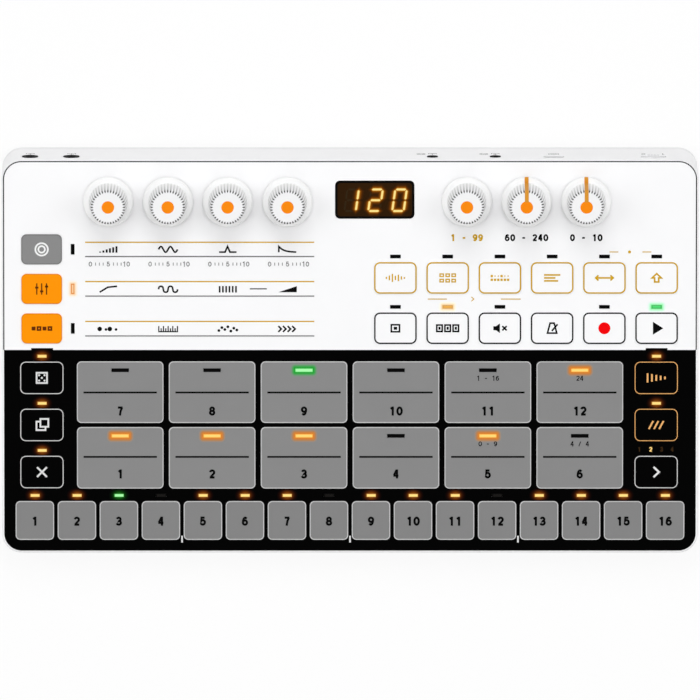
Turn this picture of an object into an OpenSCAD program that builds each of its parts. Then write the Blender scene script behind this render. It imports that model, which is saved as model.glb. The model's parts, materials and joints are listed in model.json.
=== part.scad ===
// Desktop drum machine: a low sloping case with seven knobs, a numeric display,
// 21 membrane keys, twelve touch pads, sixteen touch steps and a row of rear sockets.
// Millimetres. X runs to the right, Y to the back and Z up. The origin is on the table,
// under the middle of the machine. Panel coordinates are u (to the right), v (up the slope,
// from the front edge) and w (out of the panel).

/* [Case] */
// Width of the case
case_w = 256; // [250:1:290]
// Length of the top panel, measured up its slope
case_len = 145.9; // [144:0.1:165]
// Slope of the top panel, in degrees
tilt = 8.5; // [7.5:0.5:11]
// Height of the panel's front edge above the table
front_h = 13.9; // [13.8:0.1:20]
// Radius of the upright corners
corner_r = 7.2; // [5:0.1:12]
// Radius of the panel's outer edge
edge_r = 0.8; // [0.3:0.05:1.2]
// Thickness of the side walls
wall_t = 2.2; // [1.8:0.1:2.8]
// Thickness of the plate under the overlay
plate_t = 1.9; // [1.6:0.1:2.4]
// Thickness of the floor
floor_t = 2.4; // [2.2:0.1:3]
// Height of the joint between the two shells
split_h = 7; // [6.4:0.1:8]
// Height of the locating lip on the lower shell
lip_h = 1.4; // [0.8:0.1:2]
// Thickness of the locating lip
lip_t = 0.9; // [0.6:0.1:1.2]

/* [Overlay] */
// Width of the bare rim round the overlay
rim_w = 0.8; // [0.8:0.05:1.6]
// Shadow gap between the rim and the overlay
overlay_gap = 0.35; // [0.2:0.05:0.6]
// Thickness of the overlay
overlay_t = 0.5; // [0.4:0.05:0.8]
// Length of the dark half, measured from the front edge
dark_len = 75.5; // [75:0.1:77]

/* [Knobs] */
// Distance of the first knob's axis from the left side
knob_left = 39.2; // [36:0.1:42]
// Distance of the last knob's axis from the right side
knob_right = 41.2; // [36:0.1:42]
// Distance of the knob row from the rear edge
knob_rear = 15.3; // [15:0.1:17]
// Radius of the skirt
skirt_r = 9.2; // [8.6:0.1:9.6]
// Height of the skirt
skirt_h = 1.6; // [1.2:0.1:2]
// Radius of the grip where it meets the skirt
grip_base_r = 7.2; // [6.9:0.1:7.6]
// Radius of the grip at its top
grip_top_r = 6.3; // [6:0.1:6.8]
// Height of the grip above the skirt
grip_h = 13.1; // [11:0.1:16]
// Rounding of the grip's top edge
grip_round = 0.8; // [0.4:0.1:1.2]
// Number of grooves round the grip
groove_count = 36; // [12:1:40]
// Width of each groove
groove_w = 0.5; // [0.3:0.05:0.6]
// Depth of each groove
groove_depth = 0.75; // [0.3:0.05:0.8]
// Gap between the skirt and the panel
knob_lift = 0.5; // [0.3:0.1:1]

/* [Rotary controls] */
// Radius of the shafts
shaft_r = 3; // [2.5:0.1:3.2]
// Depth of the flat on the shafts
flat_depth = 1.2; // [0.8:0.1:1.5]
// Radius of the bushes
bush_r = 3.9; // [3.8:0.1:4.2]
// Height of the bushes above the panel
bush_h = 2; // [1.4:0.1:2.6]
// Side of the square bodies
rotary_side = 12; // [10:0.1:12.5]

/* [Keys] */
// Width of the mode keys
mode_key_w = 14.9; // [12:0.1:16]
// Gap between the mode keys
mode_key_gap = 3.6; // [3:0.1:5]
// Distance of the mode keys from the rear edge
mode_key_rear = 27.45; // [26.5:0.05:29]
// Distance of the mode keys from the dark half
mode_key_front = 2.45; // [1.5:0.05:4]
// Gap between columns of function keys
func_key_gap = 3.28; // [2.4:0.02:5]
// Gap between the two rows of function keys
func_row_gap = 6.7; // [6:0.1:8]
// Length of the function keys
func_key_l = 12; // [10:0.1:13]
// Distance of the function keys from the dark half
func_key_front = 2.1; // [1.5:0.1:4]
// Left edge of the function keys, from the middle of the case
func_key_left = 8.75; // [8:0.05:14]
// Width of the side keys
side_key_w = 16.1; // [13:0.1:17]
// Gap between the side keys
side_key_gap = 5.25; // [4.6:0.05:7]
// Distance of the left keys from the left side
left_inset = 14.7; // [13.5:0.1:16]
// Distance of the right keys from the right side
right_inset = 15.4; // [14:0.1:16]
// Corner radius of the keys
key_r = 1.9; // [1:0.1:3]
// Height of a key above the panel
key_proud = 0.28; // [0.2:0.02:0.4]
// Travel of a key
key_travel = 0.5; // [0.3:0.05:0.6]
// Gap round a key
key_gap = 0.15; // [0.12:0.01:0.3]
// Radius of the plunger under a key
plunger_r = 1.75; // [1.2:0.05:2]

/* [Touch surfaces] */
// Gap between columns of drum pads
pad_gap = 2; // [1.4:0.1:5]
// Gap between the two rows of drum pads
pad_row_gap = 1.55; // [1.2:0.05:4]
// Gap between the drum pads and the left side keys
pad_side_gap = 4.85; // [4.4:0.05:7]
// Distance of the pads and side keys from the white half
touch_rear = 4.25; // [3.9:0.05:5]
// Gap between step pads
step_gap = 1.36; // [1:0.02:3]
// Length of a step pad
step_l = 14.4; // [12:0.1:15]
// Distance of the step pads from the sides
step_inset = 5; // [4:0.1:7]
// Distance of the step pads from the front edge
step_front = 4.9; // [4:0.1:5.5]
// Room for the lights between the steps and the pads
step_room = 4.7; // [4:0.1:6]
// Corner radius of the touch pads
pad_r = 1.6; // [1:0.1:3]
// Height of the touch pads above the panel
pad_proud = 0.3; // [0.2:0.02:0.5]

/* [Lights] */
// Long side of a key or step light
light_w = 3.8; // [2.5:0.1:5]
// Short side of a light
light_l = 1.25; // [0.8:0.05:1.4]
// Long side of a pad light
pad_light_w = 6.35; // [4:0.05:10]
// Distance of a key's light from its key
light_room = 1.9; // [1.4:0.05:2.4]
// Distance of a pad's light from the pad's rear edge
pad_light_inset = 3.25; // [2:0.05:6]
// Distance of a step's light from its step
step_light_room = 2.1; // [1.5:0.05:2.8]
// Distance of a mode key's light from its key
mode_light_room = 3.95; // [2:0.05:5]
// Gap round a light guide
light_gap = 0.08; // [0.05:0.01:0.15]

/* [Display] */
// Width of the display window
window_w = 29; // [24:0.1:32]
// Length of the display window
window_l = 14; // [12:0.1:15]
// Distance of the window from the middle of its gap in the knob row
window_shift = 0.875; // [0:0.005:2]
// Thickness of the window
window_t = 1.2; // [0.8:0.1:1.5]

/* [Boards] */
// Depth of the main board's face under the panel
board_depth = 7; // [6.8:0.1:7.4]
// Thickness of the circuit boards
board_t = 1.6; // [1:0.1:1.6]
// Depth of the socket axes under the panel
socket_depth = 9.3; // [9.2:0.1:9.6]
// Height of the socket axes above the socket board
socket_axis_h = 2.6; // [2.5:0.1:2.8]

/* [Sockets] */
// Bore of the audio sockets
audio_bore = 3.6; // [3.55:0.01:3.8]
// Diameter of the audio sockets' collars
audio_collar = 5.9; // [5:0.1:6.2]
// Depth of the audio sockets' bores
audio_plug = 12; // [10:0.5:12]
// Bore of the small MIDI sockets
midi_bore = 2.6; // [2.55:0.01:2.8]
// Diameter of the MIDI sockets' collars
midi_collar = 4; // [3.6:0.1:4.6]
// Depth of the MIDI sockets' bores
midi_plug = 9; // [7:0.5:9]
// Distance of the first MIDI socket from the middle of the case
midi_start = 30.3; // [30:0.1:34]
// Distance between the MIDI sockets
midi_pitch = 23.1; // [15:0.1:24]
// Distance of the USB socket from the middle of the case
usb_start = 74.9; // [70:0.1:78]
// Distance of the first audio socket from the left side
audio_inset = 10.4; // [10:0.1:12]
// Distance between the audio sockets
audio_pitch = 15.2; // [13:0.1:16]
// Width of the USB socket
usb_w = 7.5; // [7:0.1:8]
// Height of the USB socket
usb_h = 2.9; // [2.5:0.1:3.2]
// Width of the power switch's button
switch_w = 4.4; // [3:0.1:5]
// Travel of the power switch to each side
switch_travel = 2.3; // [1.5:0.1:2.5]
// Distance of the power switch from the right side
switch_inset = 16.5; // [15:0.1:18]

/* [Batteries] */
// Diameter of a cell
cell_d = 14.5; // [13.5:0.1:14.5]
// Length of a cell
cell_len = 50.5; // [44:0.5:51]
// Gap round a cell
cell_gap = 0.5; // [0.3:0.05:0.6]
// Middle of the battery bay, from the middle of the case
bay_u = -37; // [-39:0.5:-36]
// Thickness of the bay's walls
bay_wall = 2.4; // [2:0.1:2.6]
// Thickness of the battery door
door_t = 1.8; // [1.6:0.1:1.9]
// Gap round the battery door
door_gap = 0.25; // [0.2:0.01:0.35]

/* [Feet and screws] */
// Height of the feet below the case
foot_h = 2; // [1.6:0.1:3]
// Radius of the feet
foot_r = 6; // [4:0.1:7]
// Distance of the feet from the sides
foot_inset = 20; // [18:0.5:30]
// Radius of a screw's shank
screw_r = 1; // [0.8:0.05:1.2]
// Length of a screw's shank
screw_len = 6; // [4:0.5:6]
// Radius of a screw's head
head_r = 2.2; // [1.8:0.1:2.3]
// Height of a screw's head
head_h = 1.6; // [1.2:0.1:1.8]
// Radius of the screw bosses
boss_r = 3.2; // [3:0.1:3.4]

/* [Hidden] */
$fn = 48;

// Small clearances and overlaps that several pieces share.
slack = 0.1;          // between pieces that only lie together
eps = 0.5;            // how far a cutter runs past the face it cuts
turn_fit = 0.05;      // round a turning shaft, on the radius
push_fit = 0.02;      // round a shaft in its knob, on the radius

// A length to the nearest fiftieth of a millimetre, so that its half is a plain value too.
function even(length) = round(50 * length) / 50;

// The case in its own plane: the walls stand square to the panel.
rear_h = front_h + case_len * sin(tilt);
wall_reach = (rear_h + 4) / cos(tilt);
rear_lean = (rear_h - foot_h) * tan(tilt);
case_depth = case_len * cos(tilt) + rear_lean;
panel_y = -case_depth / 2;
plate_w = -overlay_t - plate_t;
board_w = -board_depth;
board_back_w = board_w - board_t;

// Knob columns; the window stands between the fourth and the fifth knob.
knob_columns = [0, 1, 2, 3, 6, 7, 8];
knob_pitch = (case_w - knob_left - knob_right) / 8;
knob_u = [for (c = knob_columns) -case_w / 2 + knob_left + c * knob_pitch];
knob_v = case_len - knob_rear;
skirt_w = knob_lift;
grip_w = skirt_w + skirt_h;
knob_top_w = grip_w + grip_h;
knob_wall = 1.5;
shaft_top_w = knob_top_w - 2.4;
shaft_foot_w = board_w + 0.6;
flat_w = bush_h + 0.4;
hub_w = bush_h + 0.8;
rotary_h = board_depth + plate_w - slack;
grip_lean = atan((grip_base_r - grip_top_r) / grip_h);

// Keys: [u, v, width, length] for three mode keys, twelve function keys and six side keys.
// Each kind fills the room between its two ends, so its length follows from its gaps.
left_u = -case_w / 2 + left_inset;
right_u = case_w / 2 - right_inset;
mode_key_l = even((case_len - mode_key_rear - mode_key_front - dark_len - 2 * mode_key_gap) / 3);
mode_keys = [for (i = [0:2])
    [left_u, case_len - mode_key_rear - mode_key_l / 2 - i * (mode_key_l + mode_key_gap),
     mode_key_w, mode_key_l]];
func_right = right_u + side_key_w / 2;
func_key_w = even((func_right - func_key_left - 5 * func_key_gap) / 6);
func_u = [for (col = [0:5])
    func_right - func_key_w / 2 - (5 - col) * (func_key_w + func_key_gap)];
func_mid_v = dark_len + func_key_front + func_key_l + func_row_gap / 2;
func_keys = [for (side = [1, -1], u = func_u)
    [u, func_mid_v + side * (func_key_l + func_row_gap) / 2, func_key_w, func_key_l]];
touch_front = step_front + step_l + step_room;
touch_len = dark_len - touch_rear - touch_front;
side_key_l = even((touch_len - 2 * side_key_gap) / 3);
side_keys = [for (u = [left_u, right_u], row = [2, 1, 0])
    [u, touch_front + side_key_l / 2 + row * (side_key_l + side_key_gap),
     side_key_w, side_key_l]];
keys = concat(mode_keys, func_keys, side_keys);
key_bottom_w = key_proud - 0.78;
pocket_w = key_bottom_w - key_travel - 0.3;
plunger_gap = 0.3;
plunger_tip_w = board_w + 1.9;
dome_top_w = plunger_tip_w - key_travel - slack;

// Touch pads: two rows of six drum pads and a row of sixteen steps.
pad_inset = left_inset + side_key_w / 2 + pad_side_gap;
pad_w = even((case_w - 2 * pad_inset - 5 * pad_gap) / 6);
pad_l = even((touch_len - pad_row_gap) / 2);
pad_pitch = pad_w + pad_gap;
pad_mid_v = touch_front + touch_len / 2;
pads = [for (side = [1, -1], col = [0:5])
    [(col - 2.5) * pad_pitch, pad_mid_v + side * (pad_l + pad_row_gap) / 2]];
step_w = even((case_w - 2 * step_inset - 15 * step_gap) / 16);
steps = [for (i = [0:15]) [(i - 7.5) * (step_w + step_gap), step_front + step_l / 2]];

// Lights: [u, v, width, length, top], each group with one letter for each light:
// a for amber, g for green, o for unlit and - for a place with no light.
mode_light_u = left_u + mode_key_w / 2 + mode_light_room;
pad_light_v = pad_l / 2 - pad_light_inset;
step_light_v = step_l / 2 + step_light_room;
light_top = 0.06;
lights = concat(
    [for (k = mode_keys) [mode_light_u, k[1], light_l, light_w, light_top]],
    [for (k = concat(func_keys, side_keys))
        [k[0], k[1] + k[3] / 2 + light_room, light_w, light_l, light_top]],
    [for (p = pads) [p[0], p[1] + pad_light_v, pad_light_w, light_l, pad_proud + light_top]],
    [for (s = steps) [s[0], s[1] + step_light_v, light_w, light_l, light_top]]
);
light_states = str("oao", "oooooo", "oao-og", "aaa", "aa-", "oogooa", "aaaoao",
    "aagoaaaoaaaoaaaa");

// Display window and the module behind it.
window_u = (knob_u[3] + knob_u[4]) / 2 - window_shift;
window_v = knob_v + 0.7;
window_r = 1.7;
window_ledge = 1;

// Boards. The main board ends behind the front screws; the socket board lies lower, along
// the rear wall.
screw_inset = 8.6;
boss_room = 0.6;
board_edge = 3.2;
board_front_v = screw_inset + boss_r + 2 * boss_room;
board_back_v = case_len - 7.6;
board_half_w = case_w / 2 - wall_t - board_edge;
socket_board_w = -socket_depth - socket_axis_h;
socket_board_l = 14;
wall_v = case_len - wall_t;
socket_board_back_v = wall_v - 0.4;

// Rear sockets: places along the rear wall, and how much room each takes.
audio_u = [-case_w / 2 + audio_inset, -case_w / 2 + audio_inset + audio_pitch];
midi_u = [midi_start, midi_start + midi_pitch];
usb_u = usb_start;
switch_u = case_w / 2 - switch_inset;
audio_body_w = 6.6;
audio_body = [audio_body_w, audio_plug];
midi_body_w = 5.6;
midi_body = [midi_body_w, midi_plug + 1];
usb_body_l = 5.6;
socket_top_w = board_w - 0.2;
collar_out = 0.3;
usb_inset = 0.2;
collar_root = 0.3;
socket_fit = 0.15;
switch_body = [13, 4.4];
switch_h = 2.6;
switch_play = 0.3;
switch_slot = switch_w + 2 * (switch_travel + switch_play);
switch_proud = 0.8;
switch_root = 2.4;

// Battery bay: two rows of two cells lie along X behind the battery door.
spring_room = 5;
spring_r = 3.4;
wire_r = 0.4;
plate_room = 1.2;
plate_r = 2.4;
leaf = 9;
leaf_t = 0.4;
bay_w = 2 * cell_len + spring_room + plate_room;
bay_l = 2 * cell_d + 3 * cell_gap;
bay_back_y = panel_y + case_len * cos(tilt) - wall_t - bay_wall;
bay_y = bay_back_y - bay_l / 2;
cell_floor = foot_h + door_t + 0.4;
cell_z = cell_floor + cell_d / 2;
bay_top = cell_floor + cell_d + 0.4;
bay_roof = 1.4;
cell_pitch = cell_d + cell_gap;
cell_touch = 0.05;
door_ledge = 1.2;
door_w = bay_w + 2 * (door_ledge - door_gap);
door_l = bay_l + 2 * (door_ledge - door_gap);
door_front_y = bay_y - door_l / 2;
hinge_y = door_front_y + door_t / 2;
hinge_z = foot_h + door_t / 2;
pin_r = 0.55;
pin_len = 1;

// Screws: six hold the shells together and four hold the main board. The upright bosses
// lie a little behind the places on the sloping panel that they stand under.
head_seat_z = 5;
boss_meet_z = split_h;
side_screw_inset = 8.2;
rear_screw_rear = 26;
board_screw_rear = 47;
boss_lean = 2;
front_screw_y = panel_y + screw_inset;
rear_screw_y = panel_y + case_len - rear_screw_rear;
case_screws = [
    [-case_w / 2 + screw_inset, front_screw_y], [0, front_screw_y],
    [case_w / 2 - screw_inset, front_screw_y],
    [-case_w / 2 + side_screw_inset, rear_screw_y], [case_w / 2 - side_screw_inset, rear_screw_y],
    [(func_u[0] + func_u[1]) / 2, panel_y + func_mid_v + boss_lean]
];
board_screws = [
    [-2 * pad_pitch, pad_mid_v], [2 * pad_pitch, pad_mid_v],
    [(knob_u[0] + knob_u[1]) / 2, case_len - board_screw_rear],
    [(func_u[2] + func_u[3]) / 2, func_mid_v]
];

// Feet
foot_recess = 0.8;
foot_front = 18;
foot_rear = 8;
foot_y = [panel_y + foot_front, panel_y + case_len - foot_rear];

// Places children in the panel's own plane.
module on_panel() {
    translate([0, panel_y, front_h]) rotate([tilt, 0, 0]) children();
}

// A rectangle with true round corners, centred.
module rounded(w, l, r) {
    square([w - 2 * r, l], center = true);
    square([w, l - 2 * r], center = true);
    for (x = [-1, 1], y = [-1, 1])
        translate([x * (w / 2 - r), y * (l / 2 - r)]) circle(r);
}

// A rounded plate at [u, v] that runs from height w0 to w1.
module slab(u, v, w, l, r, w0, w1) {
    translate([u, v, w0]) linear_extrude(w1 - w0) rounded(w, l, r);
}

// A box at [u, v] that runs from height w0 to w1.
module block(u, v, w, l, w0, w1) {
    translate([u - w / 2, v - l / 2, w0]) cube([w, l, w1 - w0]);
}

// A cylinder at [u, v] that runs from height w0 to w1.
module post(u, v, r, w0, w1) {
    translate([u, v, w0]) cylinder(h = w1 - w0, r = r);
}

// The case's outline, drawn in by an inset, filled from below the floor up to a height.
module case_prism(inset, top) {
    slab(0, case_len / 2, case_w - 2 * inset, case_len - 2 * inset, corner_r - inset,
        -wall_reach, top);
}

// Everything below a level height, down past the case's outline.
module below(z) {
    depth = 2 * wall_reach;
    translate([-case_w, -case_depth, z - depth]) cube([2 * case_w, 2 * case_depth, depth]);
}

// Everything above a level height, up past the panel.
module above(z) {
    translate([-case_w, -case_depth, z]) cube([2 * case_w, 2 * case_depth, 2 * wall_reach]);
}

// What rounds the panel's outer edge: a concave moulding run along the four sides and corners.
module edge_cutter() {
    module moulding() {
        difference() {
            translate([-edge_r, -edge_r]) square(edge_r + eps);
            translate([-edge_r, -edge_r]) circle(edge_r);
        }
    }
    half_w = case_w / 2;
    run_w = case_w - 2 * corner_r;
    run_l = case_len - 2 * corner_r;
    translate([0, case_len / 2, 0]) {
        for (side = [0, 180]) rotate(side) {
            translate([half_w, run_l / 2, 0]) rotate([90, 0, 0]) linear_extrude(run_l) moulding();
            translate([-run_w / 2, case_len / 2, 0])
                rotate([90, 0, 90]) linear_extrude(run_w) moulding();
            translate([half_w - corner_r, case_len / 2 - corner_r, 0])
                rotate_extrude(angle = 90) translate([corner_r, 0]) moulding();
            translate([-half_w + corner_r, case_len / 2 - corner_r, 0]) rotate(90)
                rotate_extrude(angle = 90) translate([corner_r, 0]) moulding();
        }
    }
}

// The holes that the lights need, with a gap all round.
module light_holes(bottom, gap) {
    for (i = [0:len(lights) - 1])
        if (light_states[i] != "-") {
            l = lights[i];
            block(l[0], l[1], l[2] + 2 * gap, l[3] + 2 * gap, bottom, l[4] + eps);
        }
}

// The holes that the keys, knobs, window and lights need in the overlay.
module overlay_holes() {
    for (k = keys)
        slab(k[0], k[1], k[2] + 2 * key_gap, k[3] + 2 * key_gap, key_r + key_gap,
            -overlay_t - eps, eps);
    for (u = knob_u) post(u, knob_v, bush_r + 0.4, -overlay_t - eps, eps);
    slab(window_u, window_v, window_w + 2 * slack, window_l + 2 * slack, window_r + slack,
        -overlay_t - eps, eps);
    light_holes(-overlay_t - eps, light_gap);
}

// The holes and pockets in the plate under the overlay.
module plate_holes() {
    through = plate_w - eps;
    for (k = keys) {
        slab(k[0], k[1], k[2] + 2 * key_gap, k[3] + 2 * key_gap, key_r + key_gap, pocket_w, 0);
        post(k[0], k[1], plunger_r + plunger_gap, through, 0);
    }
    for (u = knob_u) post(u, knob_v, bush_r + slack, through, 0);
    slab(window_u, window_v, window_w + 2 * slack, window_l + 2 * slack, window_r + slack,
        -window_t, 0);
    block(window_u, window_v, window_w - 2 * window_ledge, window_l - 2 * window_ledge,
        through, 0);
    light_holes(through, light_gap);
}

// Puts children on the rear wall's axis at u, pointing out of the wall.
module on_rear(u, v) {
    translate([u, v, -socket_depth]) rotate([-90, 0, 0]) children();
}

// The holes that the rear sockets and the switch need in the rear wall.
module rear_holes() {
    from = wall_v - 1;
    depth = wall_t + 2;
    for (u = audio_u) on_rear(u, from) cylinder(h = depth, r = audio_collar / 2 + socket_fit);
    for (u = midi_u) on_rear(u, from) cylinder(h = depth, r = midi_collar / 2 + socket_fit);
    on_rear(usb_u, from) linear_extrude(depth)
        rounded(usb_w + 2 * socket_fit, usb_h + 2 * socket_fit, 0.3);
    on_rear(switch_u, from) linear_extrude(depth)
        rounded(switch_slot, switch_h + 2 * switch_play, 0.5);
}

module top_shell() {
    color("white")
    difference() {
        union() {
            on_panel() difference() {
                case_prism(0, 0);
                case_prism(wall_t, plate_w);
            }
            intersection() {
                for (s = case_screws) post(s[0], s[1], boss_r, boss_meet_z, wall_reach);
                on_panel() case_prism(wall_t / 2, plate_w + plate_t / 2);
            }
            on_panel() for (s = board_screws)
                post(s[0], s[1], boss_r, board_w, plate_w + plate_t / 2);
        }
        below(split_h);
        on_panel() {
            translate([0, 0, -overlay_t]) linear_extrude(1)
                translate([0, case_len / 2])
                    rounded(case_w - 2 * rim_w, case_len - 2 * rim_w, corner_r - rim_w);
            edge_cutter();
            plate_holes();
            rear_holes();
            for (s = board_screws)
                post(s[0], s[1], screw_r + push_fit, board_w - 1,
                    board_back_w + screw_len + 0.2);
        }
        for (s = case_screws)
            post(s[0], s[1], screw_r + push_fit, boss_meet_z - 1, head_seat_z + screw_len + 0.2);
    }
}

// The tub that holds the cells, open below; grown by a wall, or the space itself.
module bay_box(grow, bottom, top) {
    translate([bay_u - bay_w / 2 - grow, bay_y - bay_l / 2 - grow, bottom])
        cube([bay_w + 2 * grow, bay_l + 2 * grow, top - bottom]);
}

// Where the battery door lies, grown by a gap.
module door_outline(grow) {
    translate([bay_u, bay_y]) rounded(door_w + 2 * grow, door_l + 2 * grow, 0.4);
}

module bottom_shell() {
    color("whitesmoke")
    difference() {
        union() {
            difference() {
                on_panel() case_prism(0, -plate_t);
                difference() {
                    on_panel() case_prism(wall_t, 0);
                    below(foot_h + floor_t);
                }
                above(split_h);
            }
            difference() {
                on_panel() difference() {
                    case_prism(wall_t + slack, 0);
                    case_prism(wall_t + slack + lip_t, 1);
                }
                below(foot_h + floor_t - 1);
                above(split_h + lip_h);
            }
            bay_box(bay_wall, foot_h + 1, bay_top + bay_roof);
            for (s = case_screws)
                post(s[0], s[1], boss_r, foot_h + 1, boss_meet_z);
            socket_board_posts();
        }
        below(foot_h);
        bay_box(0, 0, bay_top);
        linear_extrude(foot_h + door_t + slack) door_outline(door_gap);
        translate([bay_u, hinge_y, hinge_z]) rotate([0, 90, 0])
            cylinder(h = door_w + 2 * (door_gap + pin_len), r = pin_r + slack, center = true);
        for (s = case_screws) {
            post(s[0], s[1], head_r + slack, 0, head_seat_z);
            post(s[0], s[1], screw_r + 3 * slack, 0, boss_meet_z + 1);
        }
        for (x = [-1, 1], y = foot_y)
            post(x * (case_w / 2 - foot_inset), y, foot_r + slack, 0, foot_h + foot_recess);
    }
}

// Posts that carry the socket board, square to it.
socket_post_u = [audio_u[0] + audio_pitch / 2, midi_u[0] - 4, usb_u + 14, switch_u];
module socket_board_posts() {
    intersection() {
        on_panel() for (u = socket_post_u)
            post(u, socket_board_back_v - socket_board_l + 3.4, 2.4, -wall_reach,
                socket_board_w - board_t);
        on_panel() case_prism(wall_t / 2, 0);
    }
}

// An overlay foil between two distances from the front edge.
module foil(v0, v1) {
    on_panel() difference() {
        intersection() {
            slab(0, case_len / 2, case_w - 2 * (rim_w + overlay_gap),
                case_len - 2 * (rim_w + overlay_gap), corner_r - rim_w - overlay_gap,
                -overlay_t, 0);
            translate([-case_w / 2, v0, -1]) cube([case_w, v1 - v0, 2]);
        }
        overlay_holes();
    }
}

module upper_overlay() {
    color("white") foil(dark_len, case_len);
}

module lower_overlay() {
    color("#111111") foil(0, dark_len);
}

// Touch pads of one size, with the lights' holes left open.
module touch_pads(places, w, l) {
    on_panel() difference() {
        for (p = places) slab(p[0], p[1], w, l, pad_r, 0, pad_proud);
        light_holes(-1, light_gap);
    }
}

module drum_pads() {
    color("#8a8a8a") touch_pads(pads, pad_w, pad_l);
}

module step_pads() {
    color("#8a8a8a") touch_pads(steps, step_w, step_l);
}

module display_window() {
    color("#231a10") on_panel()
        slab(window_u, window_v, window_w, window_l, window_r, -window_t, 0);
}

module display_module() {
    color("#303030") on_panel()
        block(window_u, window_v, window_w - 2 * (window_ledge + slack),
            window_l - 2 * (window_ledge + slack), board_w, -window_t);
}

module main_board() {
    color("darkgreen")
    difference() {
        on_panel() difference() {
            translate([-board_half_w, board_front_v, board_back_w])
                cube([2 * board_half_w, board_back_v - board_front_v, board_t]);
            for (u = audio_u) board_notch(u, audio_body[0], audio_body[1]);
            for (u = midi_u) board_notch(u, midi_body[0], midi_body[1]);
            board_notch(usb_u, usb_w, usb_body_l);
            board_notch(switch_u, switch_body[0], switch_body[1]);
            for (s = board_screws)
                post(s[0], s[1], screw_r + slack, board_back_w - 1, board_w + 1);
        }
        for (s = case_screws) post(s[0], s[1], boss_r + boss_room, 0, wall_reach);
    }
}

// A notch in the main board for a socket that stands against the rear wall.
module board_notch(u, w, l) {
    room = 0.6;
    block(u, wall_v - l / 2, w + 2 * room, l + 2 * room, board_back_w - 1, board_w + 1);
}

// The socket board is in two pieces, one on each side of the battery bay.
module socket_board() {
    left = [audio_u[0] - audio_body[0] / 2 - 1, audio_u[1] + audio_body[0] / 2 + 1];
    right = [midi_u[0] - midi_body[0] / 2 - 4, switch_u + switch_body[0] / 2 + 1];
    color("darkgreen") on_panel() {
        for (span = [left, right])
            translate([span[0], socket_board_back_v - socket_board_l, socket_board_w - board_t])
                cube([span[1] - span[0], socket_board_l, board_t]);
        for (u = [(audio_u[0] + audio_u[1]) / 2, (midi_u[0] + midi_u[1]) / 2])
            block(u, socket_board_back_v - socket_board_l + 2, 4, 3,
                socket_board_w, board_back_w);
    }
}

module dome_switches() {
    color("silver") on_panel()
        for (k = keys) {
            block(k[0], k[1], 6, 6, board_w, dome_top_w - 0.3);
            post(k[0], k[1], 1.7, dome_top_w - 0.4, dome_top_w);
        }
}

// The fixed part of each rotary control: a square body and a bush that the shaft turns in.
module rotary_bodies() {
    color("gray") on_panel()
        for (u = knob_u) difference() {
            union() {
                block(u, knob_v, rotary_side, rotary_side, board_w, board_w + rotary_h);
                post(u, knob_v, bush_r, board_w + rotary_h - 1, bush_h);
            }
            post(u, knob_v, shaft_r + turn_fit, shaft_foot_w - slack, bush_h + 1);
        }
}

// One shaft, with a flat that starts above the bush.
module shaft(i) {
    color("silver") on_panel() translate([knob_u[i], knob_v, 0])
        difference() {
            post(0, 0, shaft_r, shaft_foot_w, shaft_top_w);
            translate([-shaft_r - 1, shaft_r - flat_depth, flat_w])
                cube([2 * shaft_r + 2, shaft_r, shaft_top_w - flat_w + 1]);
        }
}

// One knob: a hollow fluted grip on a thin skirt, with a hub that takes the shaft.
module knob(i) {
    hub_r = shaft_r + 1.3;
    roof_w = knob_top_w - 1.6;
    cavity_r = grip_top_r - knob_wall;
    groove_foot = 0.5;
    color("white") on_panel() translate([knob_u[i], knob_v, 0]) {
        difference() {
            rotate_extrude() difference() {
                knob_profile();
                square([cavity_r, roof_w]);
            }
            for (g = [0:groove_count - 1])
                rotate(g * 360 / groove_count)
                    translate([grip_base_r - groove_depth, -groove_w / 2, grip_w + groove_foot])
                        rotate([0, -grip_lean, 0])
                            cube([2 * groove_depth, groove_w, grip_h + 2]);
        }
        difference() {
            post(0, 0, hub_r, hub_w, roof_w + 0.2);
            intersection() {
                post(0, 0, shaft_r + push_fit, hub_w - 1, shaft_top_w + slack);
                translate([-shaft_r - 1, -shaft_r - 1, hub_w - 1])
                    cube([2 * shaft_r + 2, 2 * shaft_r + 1 - flat_depth + push_fit,
                        shaft_top_w - hub_w + 2]);
            }
        }
    }
}

// Half of the knob's outline: skirt, tapered grip and a rounded top edge.
module knob_profile() {
    round_x = grip_top_r - grip_round;
    polygon([
        [0, skirt_w], [skirt_r, skirt_w], [skirt_r, grip_w - 0.5], [skirt_r - 0.5, grip_w],
        [grip_base_r, grip_w], [grip_top_r, knob_top_w - grip_round],
        [round_x, knob_top_w - grip_round], [round_x, knob_top_w], [0, knob_top_w]
    ]);
    translate([round_x, knob_top_w - grip_round]) circle(grip_round);
}

// One key: an embossed cap flush in the overlay, and the plunger that works its switch.
module key(i) {
    k = keys[i];
    on_panel() {
        slab(k[0], k[1], k[2], k[3], key_r, key_bottom_w, key_proud);
        post(k[0], k[1], plunger_r, plunger_tip_w, key_bottom_w + 0.1);
    }
}

// A socket body on the socket board with a round collar in the rear wall and a plug bore.
module round_socket(u, body, collar, bore, depth) {
    difference() {
        union() {
            block(u, wall_v - slack - body[1] / 2, body[0], body[1], socket_board_w, socket_top_w);
            on_rear(u, wall_v - collar_root)
                cylinder(h = wall_t + collar_root + collar_out, r = collar / 2);
        }
        on_rear(u, case_len + collar_out - depth) cylinder(h = depth + 1, r = bore / 2);
    }
}

module audio_sockets() {
    color("#202020") on_panel()
        for (u = audio_u) round_socket(u, audio_body, audio_collar, audio_bore, audio_plug);
}

module midi_sockets() {
    color("#202020") on_panel()
        for (u = midi_u) round_socket(u, midi_body, midi_collar, midi_bore, midi_plug);
}

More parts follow.
